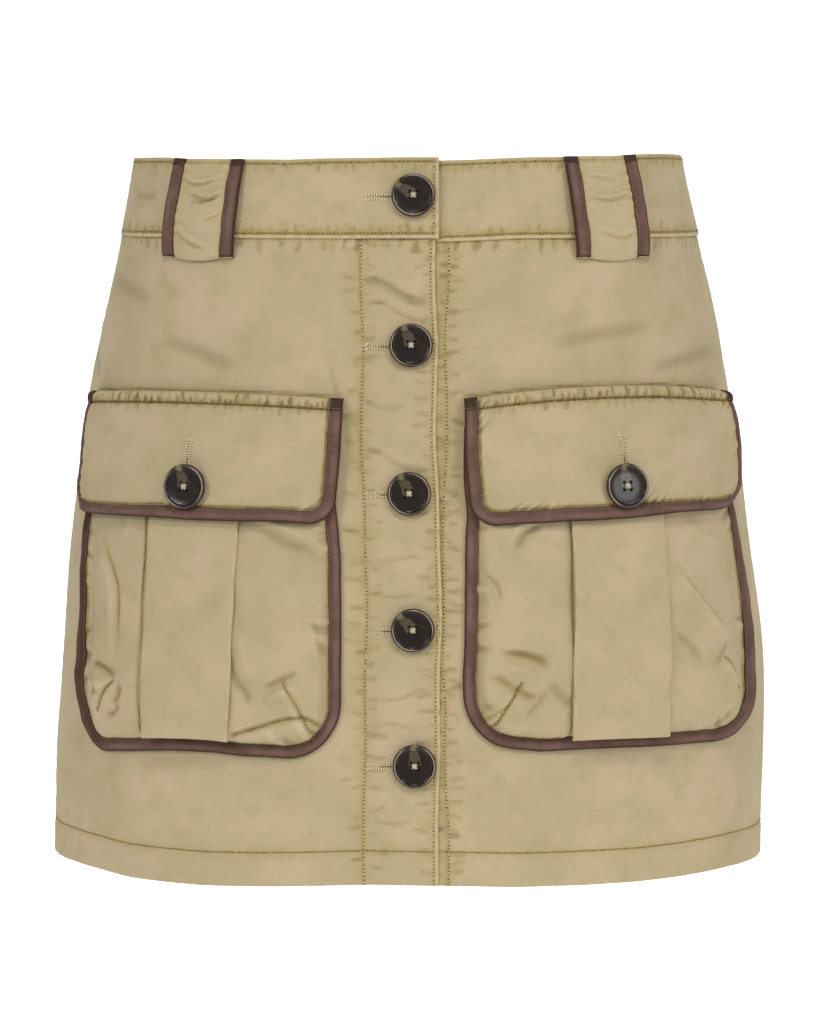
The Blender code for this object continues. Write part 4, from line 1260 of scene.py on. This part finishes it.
def inside_edge(across, down, deep, half, corner):
    """How far in a point is from the round-cornered edge. The top isn't an edge."""
    x, y = np.abs(across) - (half - corner), down - (deep - corner)
    in_corner = (x > 0) & (y > 0)
    straight = np.minimum(half - np.abs(across), deep - down)
    return np.where(in_corner, corner - np.hypot(x, y), straight)


def outer_share(pocket, across):
    """0 over most of a pocket, and 1 by its outer side."""
    return ease((across * pocket["outward"] / HALF_POCKET - 0.6) / 0.25)


def tape_change(pocket, across, down):
    """The full bag covers some of the tape along its outer side."""
    return outer_share(pocket, across) * np.interp(down, *pocket["tape"])


def bag_proud(across, down, outward=1, change=0.0):
    """How far the bag stands off the skirt: flat under its tape, fuller towards its foot, and
    slow to rise from its outer side."""
    inside = inside_edge(across, down, POCKET_DEEP, HALF_POCKET, POCKET_CORNER) - change
    full = 3.6 + 6.9 * ease(down / 150)
    reach = 5.5 + 17 * ease((across * outward / HALF_POCKET - 0.5) / 0.3)
    return BAG_RIM + (full - BAG_RIM) * ease((inside - 7.2) / reach) ** 0.7


def on_pocket(pocket, across, down):
    """Where a place on the pocket, across from the bag's middle and down from its mouth, is on
    the skirt, and how far the pocket's outer side lifts the cloth there."""
    share = across * pocket["outward"] / HALF_POCKET
    outer, inner = np.maximum(share, 0.0), np.maximum(-share, 0.0)
    level = np.clip(down, 0, 169)
    wander = outer**2 * smooth_through(SIDE_DOWNS, pocket["outer"], level)
    wander = wander - inner**2 * smooth_through(SIDE_DOWNS, pocket["inner"], level)
    # The outer lower corner is cut squarer than the inner one.
    corner = np.exp(-(((share - 0.92) * HALF_POCKET / 15) ** 2) - (((down - 160) / 15) ** 2))
    drop = POCKET_MOUTH_DROP + pocket["lower"] + down + 1.5 * corner
    drop = drop + np.interp(across, *pocket["foot"]) * ease((down - 90) / 70)
    lift = OUTER_LIFT * ease((share - 0.88) / 0.12) * ease((down - 30) / 30) * ease(
        (190 - down) / 50)
    return pocket["arc"] + across + pocket["outward"] * (wander + 2.0 * corner), drop, lift


def pleat_line(pocket, down):
    """The middle of the pleat down the bag, and how much narrower its +X half has become."""
    share = down / POCKET_DEEP
    middle = pocket["pleat_arc"] - pocket["arc"] + pocket["pleat_lean"] * share
    bow = pocket["pleat_bow"] * np.sin(pi * np.clip(share, 0, 1)) ** 2
    start, more = pocket["pleat_taper"]
    return middle + bow, start + more * share


def on_bag(side):
    """The place function of a pocket bag, by its own across and down."""
    pocket, seed = POCKETS[side], 400 if side == "right" else 440

    def place(across, down):
        inside = inside_edge(across, down, POCKET_DEEP, HALF_POCKET, POCKET_CORNER)
        # The full cloth hangs a little over the tape along its foot and its inner side.
        lip = 1.2 * bell(inside - 9.5, 3.2) * ease((down - 118) / 40)
        spill = -pocket["outward"] * bell(inside - 9, 3) * ease(down / 30) * ease(
            -across * pocket["outward"] / HALF_POCKET * 3 - 2)
        arc, drop, lift = on_pocket(pocket, across, down)
        relief = Relief(arc, drop, seed, uneven=0.6, size=40)
        change = tape_change(pocket, across, down)
        # The seam by the tape puckers, and painted shade darkens its valley.
        relief.sewn(inside - 7.5 - change, np.arctan2(down - 90, across) * 90, seed + 1,
                    spacing=9, depth=0.6, reach=6, groove=0.0, wide=0.7, shade_and_stain=1.0, tint=0.25)
        # Each fold's line carries painted shade.
        for path, height, width, lean, shade_and_stain in pocket["folds"]:
            relief.crease(path, 1.2 * height, width, lean, shade_and_stain=1.2 * shade_and_stain)
        # Each dart and the gusset is a hollow with painted shade along it.
        for path in pocket["darts"]:
            relief.crease(path, 1.8, 4.5, 0.9)
            relief.crease(path, -1.8, 1.2, shade_and_stain=1.5, fade=0.08)
        relief.crease(pocket["gusset"], 1.8, 6.0, 0.9, fade=0.1)
        relief.crease(pocket["gusset"], -2.6, 1.5, shade_and_stain=1.6, fade=0.06)
        # The bag dips into the pleat's two folds, with a line of painted shade beside each.
        middle, taper = pleat_line(pocket, down)
        fold = np.abs(across - middle) + np.where(across > middle, taper, 0.0) - PLEAT_WIDTH / 2
        deeper = np.where(across < middle, 1.7, 0.5)
        relief.height = relief.height - deeper * bell(fold, 2.4)
        shade = np.where(across < middle, pocket["fold_shade"], 0.3)
        relief.add_dye_and_painted_shade(deeper * bell(fold - shade, 0.7))
        flat = ease((inside - 5 - change) / 6)
        out = bag_proud(across, down, pocket["outward"], change) + relief.height * flat + lift
        return body.cloth(arc + spill, drop + lip, out), relief

    return place


def bag_rows(deep, corner, step):
    """Rows down a round-cornered shape, closer together round its corners."""
    turns = np.radians(np.linspace(0, 90, ceil(1.6 * corner / step) + 1))
    straight = np.linspace(0, deep - corner, ceil((deep - corner) / step) + 1)
    return np.concatenate([straight[:-1], deep - corner + corner * np.sin(turns)])


def corner_edge(deep, half, corner):
    """The edge of a round-cornered shape as a path: down its -X side, along its foot and up its
    other side. It gives the coordinates and the way out, at distances along it."""
    side, turn, foot = deep - corner, corner * pi / 2, 2 * (half - corner)
    length = 2 * side + 2 * turn + foot

    def edge(along):
        mirrored = along > length / 2
        s = np.where(mirrored, length - along, along)
        angle = np.clip((s - side) / corner, 0, pi / 2)
        on_foot = np.clip(s - side - turn, 0, foot / 2)
        across = -(half - corner) - corner * np.cos(angle) + on_foot
        down = np.minimum(s, side) + corner * np.sin(angle)
        out_across = -np.cos(angle)
        sign = np.where(mirrored, -1.0, 1.0)
        return across * sign, down, out_across * sign, np.sin(angle)

    return edge, length


def make_bag(side):
    """A pocket's bag, its corner darts, and the tape round it."""
    pocket, place = POCKETS[side], on_bag(side)
    seed = 500 if side == "right" else 540

    def laid(share, down):
        return place(share * half_width(down, POCKET_DEEP, HALF_POCKET, POCKET_CORNER), down)

    columns = np.linspace(-1, 1, 143)
    rows = bag_rows(POCKET_DEEP - 0.5, POCKET_CORNER, 1.2)
    cloth = cut_cloth(f"pocket_bag_{side}_cloth", columns, rows, laid, BAG_WALL, twill)
    belongs(cloth, "cotton_twill", f"pocket_bag_{side}")
    runs = [(place, *on_bag_path(pocket, path)) for path in pocket["darts"]]
    sew(f"pocket_bag_{side}_darts", runs, olive_thread, length=1.5)

    def rim(across, down, height):
        arc, drop, lift = on_pocket(pocket, across, down)
        # The tape's under side still reaches the skirt where the pocket's outer side lifts it.
        return body.cloth(arc, drop, BAG_RIM + height + lift * ease((height + 1.7) / 1.6))

    edge, length = corner_edge(POCKET_DEEP, HALF_POCKET, POCKET_CORNER)
    bind(f"pocket_{side}", rim, edge, length, seed, f"pocket_binding_{side}",
         narrow=lambda along: tape_change(pocket, *edge(along)[:2]),
         side_shade=lambda along: pocket["tape_side_shade"] * outer_share(pocket, edge(along)[0]))


def on_bag_path(pocket, path):
    """A path of arcs and drops on the skirt, as the bag's own across and down."""
    arc, drop = follow(path, np.linspace(0, len(path) - 1, 60))
    down = drop - POCKET_MOUTH_DROP - pocket["lower"]
    across = arc - pocket["arc"]
    for _ in range(8):
        across = across + arc - on_pocket(pocket, across, down)[0]
    return across, down


def make_pleat(side):
    """The pleat's face lies on the bag. Its two folded edges turn down to the bag's cloth."""
    pocket, seed = POCKETS[side], 600 if side == "right" else 640
    half = PLEAT_WIDTH / 2

    def place(across, down):
        relief = Relief(across, down, seed, uneven=0.35, size=34)
        edge = half - np.abs(across)
        relief.sewn(edge, down, seed + 1, spacing=16, depth=0.3, reach=4, groove=0, shade_and_stain=0,
                    tint=0.2)
        # Its folded edges are rubbed pale, which also paints their highlights.
        relief.add_wear_and_painted_light(1.1 * np.exp(-edge / 0.9))
        relief.creases(pocket["pleat_folds"])
        bag = bag_proud(np.zeros_like(down), np.minimum(down, POCKET_DEEP - 15))
        ends = rolled(edge, 1.5) + rolled(pocket["pleat_length"] - down, 1.1)
        waver = 0.25 * ripple(down, 46, seed + 4) * np.sign(across) * (np.abs(across) / half) ** 4
        middle, taper = pleat_line(pocket, down)
        taper = taper * (across + half) / PLEAT_WIDTH
        arc, drop, _ = on_pocket(pocket, middle + across - taper + waver, down)
        return body.cloth(arc, drop, bag + PLEAT_PROUD + relief.height + ends), relief

    cloth = cut_cloth(f"pocket_pleat_{side}_cloth", spread(-half, half, 1.1, edge=1.7),
                      spread(0.5, pocket["pleat_length"], 1.3), place, 1.1, twill)
    belongs(cloth, "cotton_twill", f"pocket_pleat_{side}")


for side in POCKETS:
    make_bag(side)
    make_pleat(side)

# ------------------------------------------------------------------------------- pocket flaps
# A flap covers each pocket's mouth. It is sewn on by its top edge, which is turned over into a
# stitched and puckered roll, and its other three edges are bound in tape.

FLAP_HEIGHT = 69.0
FLAP_CORNER = 14.0
FLAP_WALL = 1.5
FLAP_STITCH = 6.6

# The flap's outer face from its top edge down, over its middle and at its two sides.
FLAP_DOWN = [0.0, 0.5, 1.4, 3.0, 5.0, 6.6, 8.4, 12.0, 18.0, 40.0, 69.0]
FLAP_MIDDLE = [1.9, 3.0, 4.3, 5.1, 5.1, 4.6, 5.3, 6.1, 7.1, 9.0, 10.2]
FLAP_SIDE = [1.9, 3.0, 4.2, 4.9, 4.9, 4.5, 5.0, 5.6, 6.4, 6.9, 7.3]

# How far each flap's foot sinks along it; how far its outer side swells over the tape, stands off
# the skirt and turns round the hip; how far it leans outwards; and its folds.
FLAP_FOOT = {
    "right": ((-80, -66, -51, -40, -31, -13, 10, 40, 55, 69, 80),
              (-0.6, -1.2, -1.7, -1.9, -2.0, -2.0, -1.4, -1.5, -1.7, -0.6, 0.4)),
    "left": ((-80, -70, -63, -56, -48, -34, -19, 0, 12, 29, 47, 60, 80),
             (4.0, 3.6, 3.1, 2.5, 2.4, 1.7, 1.5, 0.8, 0.0, -1.2, -1.0, -0.9, -1.6)),
}
FLAP_SWELL = {"right": ((0, 10, 40, 60, 69), (0.2, 0.6, 0.6, 0.4, 0.2)),
              "left": ((0, 3, 16, 30, 43, 56, 69), (0.5, 1.0, 1.5, 1.6, 1.5, 1.0, 0.4))}
FLAP_LIFT = {"right": ((0, 12, 26, 69), (0.3, 1.0, 0, 0)),
             "left": ((0, 8, 33, 50, 69), (1.6, 2.3, 2.2, 0.6, 0))}
FLAP_TURN = {"right": -1.7, "left": 0.9}
FLAP_LEANS = {"right": (6.3, 5.0), "left": (6.3, 3.8)}
FLAP_FOLDS = {
    "right": (
        ([(-66, 18), (-40, 24), (-10, 20)], 0.5, 6.0, 0.3),
        ([(6, 30), (12, 40), (14, 52)], 0.35, 4.0, 0.3),
        ([(36, 26), (54, 36), (66, 50)], 0.5, 6.0, 0.3),
        ([(-58, 48), (-38, 54), (-20, 52)], 0.4, 5.0, 0.3),
    ),
    "left": (
        ([(-60, 20), (-30, 26), (-6, 22)], 0.5, 6.0, 0.3),
        ([(20, 22), (44, 30), (64, 26)], 0.5, 6.0, 0.3),
        ([(-52, 50), (-34, 56), (-16, 52)], 0.4, 5.0, 0.3),
        ([(30, 52), (50, 56), (66, 50)], 0.4, 5.0, 0.3),
    ),
}


def flap_tape_change(pocket, across, down):
    """Down the flap's outer side the swollen cloth covers some of its tape, and the tape runs
    narrower along the outer half of its foot."""
    share = across * pocket["outward"] / HALF_FLAP
    swollen = 0.5 * ease((60 - down) / 12) * ease((share - 0.8) / 0.1)
    return -1.2 * ease((share - 0.1) / 0.3) - swollen


def flap_proud(across, down):
    """How far the flap stands off the skirt."""
    middle, side = (smooth_through(FLAP_DOWN, up, down) for up in (FLAP_MIDDLE, FLAP_SIDE))
    start = PLEAT_WIDTH / 2 + 6
    share = ease((np.abs(across) - start) / (HALF_FLAP - start))
    return middle + (side - middle) * share


def on_flap(side):
    """The place function of a flap, by its own across and down."""
    pocket, seed = POCKETS[side], 700 if side == "right" else 740
    middle, level, bow = FLAP_TOPS[side]

    def place(across, down, height=None):
        relief = Relief(across, down, seed, uneven=0.3, size=48)
        # The rolled top's stitch line and puckers are darkened by dye and painted shade.
        relief.sewn(down - FLAP_STITCH, across, seed + 1, spacing=4.6, depth=0.3, reach=2.6,
                    groove=0.6, wide=1.1, shade_and_stain=0.9, tint=0.9)
        relief.gathers(FLAP_STITCH + 1, -74, 74, 2.6, seed + 10, 10, sides=(-1,), depth=1.2,
                       width=1.0, shade_and_stain=1.6)
        relief.gathers(FLAP_STITCH, -74, 74, 5.0, seed + 11, 6, sides=(1,), depth=0.4, width=1.1,
                       shade_and_stain=0.6)
        # A line of painted shadow runs along the flap's top edge.
        relief.add_dye_and_painted_shade(1.5 * bell(down, 0.8))
        inside = inside_edge(across, down, FLAP_HEIGHT, HALF_FLAP, FLAP_CORNER)
        outer = HALF_FLAP - across * pocket["outward"]
        plain = 0.25 + 0.75 * ease((outer - 5) / 12)
        change = flap_tape_change(pocket, across, down)
        # Painted shade darkens the valley by the tape, less so at the outer side.
        relief.sewn(inside - 7.6 - change, across + down, seed + 7, spacing=7, depth=0.5,
                    reach=4, groove=0.7 * plain, wide=0.8, shade_and_stain=1.0 * plain, tint=0.3)
        # The side that turns round the hip is drawn in towards the skirt, or stands off it.
        turn = FLAP_TURN[side] * ease((11 - outer) / 11) * ease((down + 4) / 10)
        turn = turn + np.interp(down, *FLAP_LIFT[side]) * ease((26 - outer) / 26)
        if height is None:
            swollen = np.interp(down, *FLAP_SWELL[side]) * (1 + 0.12 * ripple(down, 7, seed + 15))
            swollen = swollen * ease((outer - 2.2) / 4)
            turn = turn + swollen * np.exp(-np.maximum(outer - 6, 0) / 14)
            height = 0.0
        relief.creases(FLAP_FOLDS[side])
        level_share = down / FLAP_HEIGHT
        bowed = bow * (across / HALF_FLAP) ** 2 * (1 - level_share)
        bowed = bowed + np.interp(across, *FLAP_FOOT[side]) * level_share
        lean = FLAP_LEANS[side][0] * level_share + (
            (FLAP_LEANS[side][1] - FLAP_LEANS[side][0]) * ease(level_share / 0.5)
            * ease(-across * pocket["outward"] / HALF_FLAP))
        # Its outer corner is rounder, and curls up.
        corner = np.exp(-((outer / 13) ** 2) - (((down - FLAP_HEIGHT) / 12) ** 2))
        bowed = bowed - 3.4 * corner
        arc = middle + across + (lean - 3.0 * corner) * pocket["outward"]
        out = flap_proud(across, np.clip(down, 0, FLAP_HEIGHT)) + height + turn
        out = out + relief.height * ease(inside / 3) * ease((down + 0.3) / 1.2)
        return body.cloth(arc, level + down + bowed, out), relief

    return place


def make_flap(side):
    """A flap, the stitches along its rolled top, and its tape."""
    place = on_flap(side)
    # The cloth stops just short of the edge that the tape wraps.
    half, deep = HALF_FLAP - 0.4, FLAP_HEIGHT - 0.4

    def laid(share, down):
        return place(share * half_width(down, deep, half, FLAP_CORNER), down)

    rows = np.concatenate([[0.0, 0.15, 0.4, 0.8, 1.3, 2.0], bag_rows(deep, FLAP_CORNER, 1.0)[3:]])
    cloth = cut_cloth(f"flap_{side}_cloth", np.linspace(-1, 1, 236), rows, laid, FLAP_WALL, twill)
    belongs(cloth, "cotton_twill", f"flap_{side}")
    sew(f"flap_{side}_stitches", [(place, *line(-HALF_FLAP + 7.2, HALF_FLAP - 7.2, FLAP_STITCH))],
        bronze_thread, length=1.7, thick=1.3, slant=26)
    edge, length = corner_edge(FLAP_HEIGHT, HALF_FLAP, FLAP_CORNER)

    def narrow(along):
        return flap_tape_change(POCKETS[side], *edge(along)[:2])

    tape = bind(f"flap_{side}", lambda across, down, height: place(across, down, height)[0],
                edge, length, 760 if side == "right" else 780, f"flap_binding_{side}",
                caps=(6.8, 6.8), narrow=narrow)
    ends = [(tape, np.full(40, along), np.linspace(0.5, 8.0, 40)) for along in (5.8, length - 5.8)]
    sew(f"flap_{side}_tape_ends", ends, rose_thread, "binding_tape", pitch=1.3, length=1.0,
        thick=0.45)
    return place


flap_places = {side: make_flap(side) for side in POCKETS}

# -------------------------------------------------------------------------------- buttonholes
# Each buttonhole is a slit worked round with close zigzag stitches and barred at its end. The
# front closure's lie level, and the flaps' stand upright.

HOLE_START, HOLE_REACH = -23.4, 16.0
FLAP_HOLE_TOP, FLAP_HOLE_END = 26.0, 44.0
# The slit's dark stitches stand in for the shade in the cut.
slit_shade = make_thread("buttonhole_slit_shade", (0.030, 0.022, 0.008), (0.070, 0.050, 0.020))
pale_thread = make_thread("pale_thread", (0.47, 0.390, 0.205), (0.76, 0.660, 0.42))

FRONT_BUTTONS = ((2.0, 20.6), (0.8, 98.6), (-0.2, 175.4), (1.7, 246.3), (2.6, 317))
FLAP_BUTTON_DOWN = 52.5

slits, purls, bars = [], [], []
for arc, drop in FRONT_BUTTONS:
    cloth = right_band if drop < BAND_HEIGHT else right_front
    start, end = HOLE_START, HOLE_START + HOLE_REACH
    slits.append((cloth, *line(end - 9, end, drop + 0.6, 40)))
    purls += [(cloth, *line(start, end, drop + 0.6 + away, 60)) for away in (-1.2, 1.2)]
    bars.append((cloth, *upright(start - 0.2, drop - 1.5, drop + 2.7, 20)))
for side, cloth in flap_places.items():
    across = POCKETS[side]["button_arc"] - FLAP_TOPS[side][0] - POCKETS[side]["outward"] * 3
    slits.append((cloth, *upright(across, FLAP_HOLE_END - 8, FLAP_HOLE_END, 40)))
    purls += [(cloth, *upright(across + away, FLAP_HOLE_TOP, FLAP_HOLE_END, 60))
              for away in (-1.35, 1.35)]
    bars.append((cloth, *line(across - 2.3, across + 2.3, FLAP_HOLE_TOP - 0.2, 20)))
sew("buttonhole_slits", slits, slit_shade, pitch=1.2, length=1.8, thick=0.42, holes=False)
sew("buttonhole_purls", purls, pale_thread, pitch=1.35, length=2.0, thick=0.9, slant=64,
    sunk=-0.05)
sew("buttonhole_bars", bars, pale_thread, pitch=0.8, length=1.7, thick=0.5, slant=80, sunk=-0.05,
    holes=False)

# ------------------------------------------------------------------------------------ buttons
# The buttons are turned from dark horn: a raised rim round a shallow dish with four holes, and
# a pale streak of the horn across one side. Cream thread crosses between the holes.

BUTTON_RADIUS = 11.45
BUTTON_THICK = 3.4
BUTTON_HOLE = 1.0
HOLE_SPACING = 3.5
DRILL_LENGTH = 0.012
STRAND_HALF = (HOLE_SPACING * 0.60 / 1000, 0.00024, 0.00028)
REST_GAP = 0.7

# Half the button's section, as shares of its radius and thickness, from the dish outwards.
BUTTON_SECTION = (
    (0.0, 0.66), (0.45, 0.66), (0.79, 0.67), (0.825, 0.71), (0.85, 0.82), (0.87, 0.94),
    (0.893, 1.0), (0.92, 0.99), (0.955, 0.90), (0.985, 0.72), (1.0, 0.52), (0.985, 0.34),
    (0.93, 0.14), (0.82, 0.03), (0.6, 0.0), (0.0, 0.0),
)


def make_horn():
    """Polished dark horn, with a painted highlight on its rim. Its face reads a button's own plan,
    with the streak along +U.
    """
    horn = Finish("horn_button_face", roughness=0.2, coat=0.12)
    horn.put("Coat Roughness", 0.12)
    horn.put("Specular IOR Level", 0.3)
    plan = horn.node("UVMap", {"uv_map": "plan"})
    wavy = horn.noise(plan, 0.35, 3.0)
    u = horn.node("SeparateXYZ", {}, {0: plan})
    v = horn.node("SeparateXYZ", {}, {0: plan}, output=1)
    bent = abs(v + (wavy - 0.5) * 0.35)
    # The streak fans out from its notch in the rim to the thread.
    fan = (1.0 - (bent - 0.30 + u * 0.20).within(-0.02, 0.04)) * u.within(-0.02, 0.10)
    fan = fan * (1.0 - u.within(0.66, 0.74))
    spot = (u - 0.84) * (u - 0.84) + bent * bent
    notch = 1.0 - spot.within(0.014, 0.030)
    outline = spot.within(0.012, 0.026) * (1.0 - spot.within(0.030, 0.046))
    stretched = horn.node("Mapping", {}, {"Vector": plan, "Scale": (0.5, 4.0, 1.0)})
    grain = horn.noise(stretched, 0.3, 4.0)
    horn.colour = horn.blend(grain.within(0.35, 0.75), (0.0125, 0.0088, 0.0070),
                             (0.019, 0.0125, 0.0092))
    from_middle = horn.node("VectorMath", {"operation": "LENGTH"}, {0: plan}, output="Value")
    horn.tint(from_middle.within(0.84, 0.94) * 0.8, (0.044, 0.027, 0.016))
    amber = (0.0 - v - 0.25).within(0.0, 0.6) * grain.within(0.45, 0.7)
    horn.tint(amber * 0.5, (0.075, 0.034, 0.012))
    horn.tint(fan * (0.35 + grain * 0.6), (0.105, 0.074, 0.048))
    # The rim's crest carries a painted highlight at both sides of the streak, and painted shade
    # darkens a groove inside it.
    flank = abs(v).within(0.30, 0.75)
    crest_highlight = 1.0 - abs(from_middle - 0.905).within(0.010, 0.032)
    horn.tint(crest_highlight * flank * 0.8, (0.36, 0.29, 0.23))
    groove = 1.0 - abs(from_middle - 0.835).within(0.010, 0.040)
    horn.tint(groove * 0.8, (0.007, 0.005, 0.004))
    horn.tint(outline * 0.8, (0.012, 0.009, 0.007))
    horn.tint(notch * 0.85, (0.165, 0.125, 0.065))
    horn.put("Base Color", horn.colour)
    horn.put("Roughness", 0.18 + grain * 0.10)
    return horn


horn = make_horn()
cream_thread = make_thread("cream_thread", (0.36, 0.325, 0.230), (0.68, 0.630, 0.48))


def drill():
    """Four drills through the middle of a button."""
    form = bmesh.new()
    for turn in range(4):
        angle, reach = radians(45 + 90 * turn), HOLE_SPACING / 2**0.5 / 1000
        place = Matrix.Translation((reach * cos(angle), reach * sin(angle), 0))
        bmesh.ops.create_cone(form, cap_ends=True, segments=20, radius1=BUTTON_HOLE / 1000,
                              radius2=BUTTON_HOLE / 1000, depth=DRILL_LENGTH, matrix=place)
    return shown("drill", meshed("drill", form))


drills = drill()


def turn_button():
    """One button lying flat at the origin, drilled."""
    form = bmesh.new()
    points = [(x * BUTTON_RADIUS / 1000, 0, z * BUTTON_THICK / 1000) for x, z in BUTTON_SECTION]
    corners = [form.verts.new(point) for point in points]
    edges = [form.edges.new(pair) for pair in zip(corners, corners[1:])]
    bmesh.ops.spin(form, geom=corners + edges, cent=(0, 0, 0), axis=(0, 0, 1), angle=2 * pi,
                   steps=72, use_merge=True)
    bmesh.ops.remove_doubles(form, verts=form.verts, dist=1e-6)
    bmesh.ops.recalc_face_normals(form, faces=form.faces)
    blank = shown("button", meshed("button", form))
    cut = blank.modifiers.new("Holes", "BOOLEAN")
    cut.operation, cut.object, cut.solver = "DIFFERENCE", drills, "EXACT"
    bpy.context.view_layer.update()
    shapes = bpy.context.evaluated_depsgraph_get()
    drilled = bpy.data.meshes.new_from_object(blank.evaluated_get(shapes))
    bpy.data.objects.remove(blank)
    drilled.shade_smooth()
    drilled.set_sharp_from_angle(angle=radians(50))
    return drilled


button_form = turn_button()
bpy.data.objects.remove(drills)


def sew_button(name, arc, drop, out, streak, size=1.0, ahead=0.0):
    """A button flat on the cloth, its streak turned to an angle, with its thread. Its thread
    lets it turn a share of the way to the front."""
    arc, drop = np.array([float(arc)]), np.array([float(drop)])
    facing = Vector(body.outward(arc, drop)[0]).lerp(Vector((0, -1, 0)), ahead).normalized()
    across = Vector((0, 0, 1)).cross(facing).normalized()
    axes = Matrix((across, facing.cross(across), facing)).transposed().to_4x4()
    place = Matrix.Translation(body.cloth(arc, drop, out)[0]) @ axes @ Matrix.Scale(size, 4)
    mesh = button_form.copy()
    x, y = (side * 1000 / BUTTON_RADIUS for side in coordinates(mesh)[:2])
    turn = radians(streak)
    lay_out(mesh, "plan", np.stack([x * cos(turn) + y * sin(turn),
                                    y * cos(turn) - x * sin(turn)], 1))
    mesh.transform(place)
    mesh.materials.clear()
    mesh.materials.append(horn.material)
    belongs(shown(f"{name}_horn", mesh), "horn_button", name)

    threads = bmesh.new()
    top = BUTTON_SECTION[0][1] * BUTTON_THICK
    for diagonal in (45, 135):
        for strand in (-0.45, 0.0, 0.45):
            angle = radians(diagonal)
            lift = top + (0.35 if diagonal == 45 else 0.7)
            middle = Vector((-sin(angle) * strand, cos(angle) * strand, lift)) / 1000
            lay = Matrix.Translation(middle) @ Matrix.Rotation(angle, 4, "Z")
            add_shape(threads, place @ lay @ Matrix.Diagonal((*STRAND_HALF, 1)))
    add_shape(threads, place @ Matrix.Diagonal((0.0012, 0.0012, 0.0012, 1)))
    finished(f"{name}_thread", threads, cream_thread, "cotton_twill")


for number, ((arc, drop), streak) in enumerate(zip(FRONT_BUTTONS, (145, 110, 115, 132, 92)), 1):
    cloth = BAND_PROUD + BAND_LAP if drop < BAND_HEIGHT else PLACKET_PROUD
    sew_button(f"button_{number}", arc, drop, cloth + REST_GAP, streak)
for side, streak in (("right", 106), ("left", 100)):
    pocket = POCKETS[side]
    out = float(np.interp(FLAP_BUTTON_DOWN, FLAP_DOWN, FLAP_MIDDLE)) + 1.95
    sew_button(f"flap_button_{side}", pocket["button_arc"], pocket["button_drop"], out, streak,
               size=1.04, ahead=0.13)

# ------------------------------------------------------------------------------------- studio
# The skirt hangs before a pale sweep of paper, in soft light from the front, above and both
# sides.


PAPER_CURVE = 0.9


def make_backdrop():
    """Paper that lies level, and curves up behind into a wall."""
    form = bmesh.new()
    edge = form.edges.new([form.verts.new((x, -1.2, -0.75)) for x in (-4, 4)])
    turns = [radians(turn) for turn in range(0, 91, 10)]
    curve = [(0, PAPER_CURVE * (sin(b) - sin(a)), PAPER_CURVE * (cos(a) - cos(b)))
             for a, b in zip(turns, turns[1:])]
    for step in [(0, 4.8, 0), *curve, (0, 0, 3.0)]:
        grown = bmesh.ops.extrude_edge_only(form, edges=[edge])["geom"]
        points = [g for g in grown if isinstance(g, bmesh.types.BMVert)]
        bmesh.ops.translate(form, verts=points, vec=step)
        edge = next(g for g in grown if isinstance(g, bmesh.types.BMEdge)
                    and all(v in grown for v in g.verts))
    bmesh.ops.recalc_face_normals(form, faces=form.faces)
    mesh = meshed("backdrop", form)
    mesh.shade_smooth()
    paper = Finish("backdrop_paper", roughness=1.0)
    paper.put("Base Color", (0.93, 0.93, 0.93, 1))
    paper.put("Emission Color", (1, 1, 1, 1))
    paper.put("Emission Strength", 0.55)
    mesh.materials.append(paper.material)
    shown("backdrop", mesh)


make_backdrop()


def hang_light(name, place, target, size, power):
    """A soft square light that faces a point."""
    lamp = bpy.data.lights.new(name, "AREA")
    lamp.shape, lamp.size, lamp.energy = "SQUARE", size, power
    light = shown(name, lamp)
    light.location = place
    light.rotation_euler = (Vector(target) - Vector(place)).to_track_quat("-Z", "Y").to_euler()


SKIRT_MIDDLE = (0, 0, -0.15)
hang_light("left_light", (-1.7, -2.3, 1.3), SKIRT_MIDDLE, 0.9, 32)
hang_light("right_light", (1.7, -2.1, 1.5), SKIRT_MIDDLE, 0.7, 21.5)
hang_light("top_light", (0.1, -2.1, 2.3), SKIRT_MIDDLE, 0.5, 28)
hang_light("low_right_light", (1.8, -1.75, 0.15), SKIRT_MIDDLE, 0.75, 8)
hang_light("backdrop_light", (0.0, 1.6, 2.8), (0, 4.0, -0.3), 2.2, 60)
world = bpy.data.worlds.new("studio")
world.use_nodes = True
room = world.node_tree.nodes["Background"].inputs
room["Color"].default_value = (1, 1, 1, 1)
room["Strength"].default_value = 0.325
bpy.context.scene.world = world
bpy.context.scene.view_settings.view_transform = "Standard"

lens = bpy.data.cameras.new("camera")
lens.lens, lens.sensor_width = 167.66, 36.0
camera = shown("camera", lens)
camera.location = (0, -2.6, 0.031)
camera.rotation_euler = (radians(90 - 4.48), 0, 0)
bpy.context.scene.camera = camera
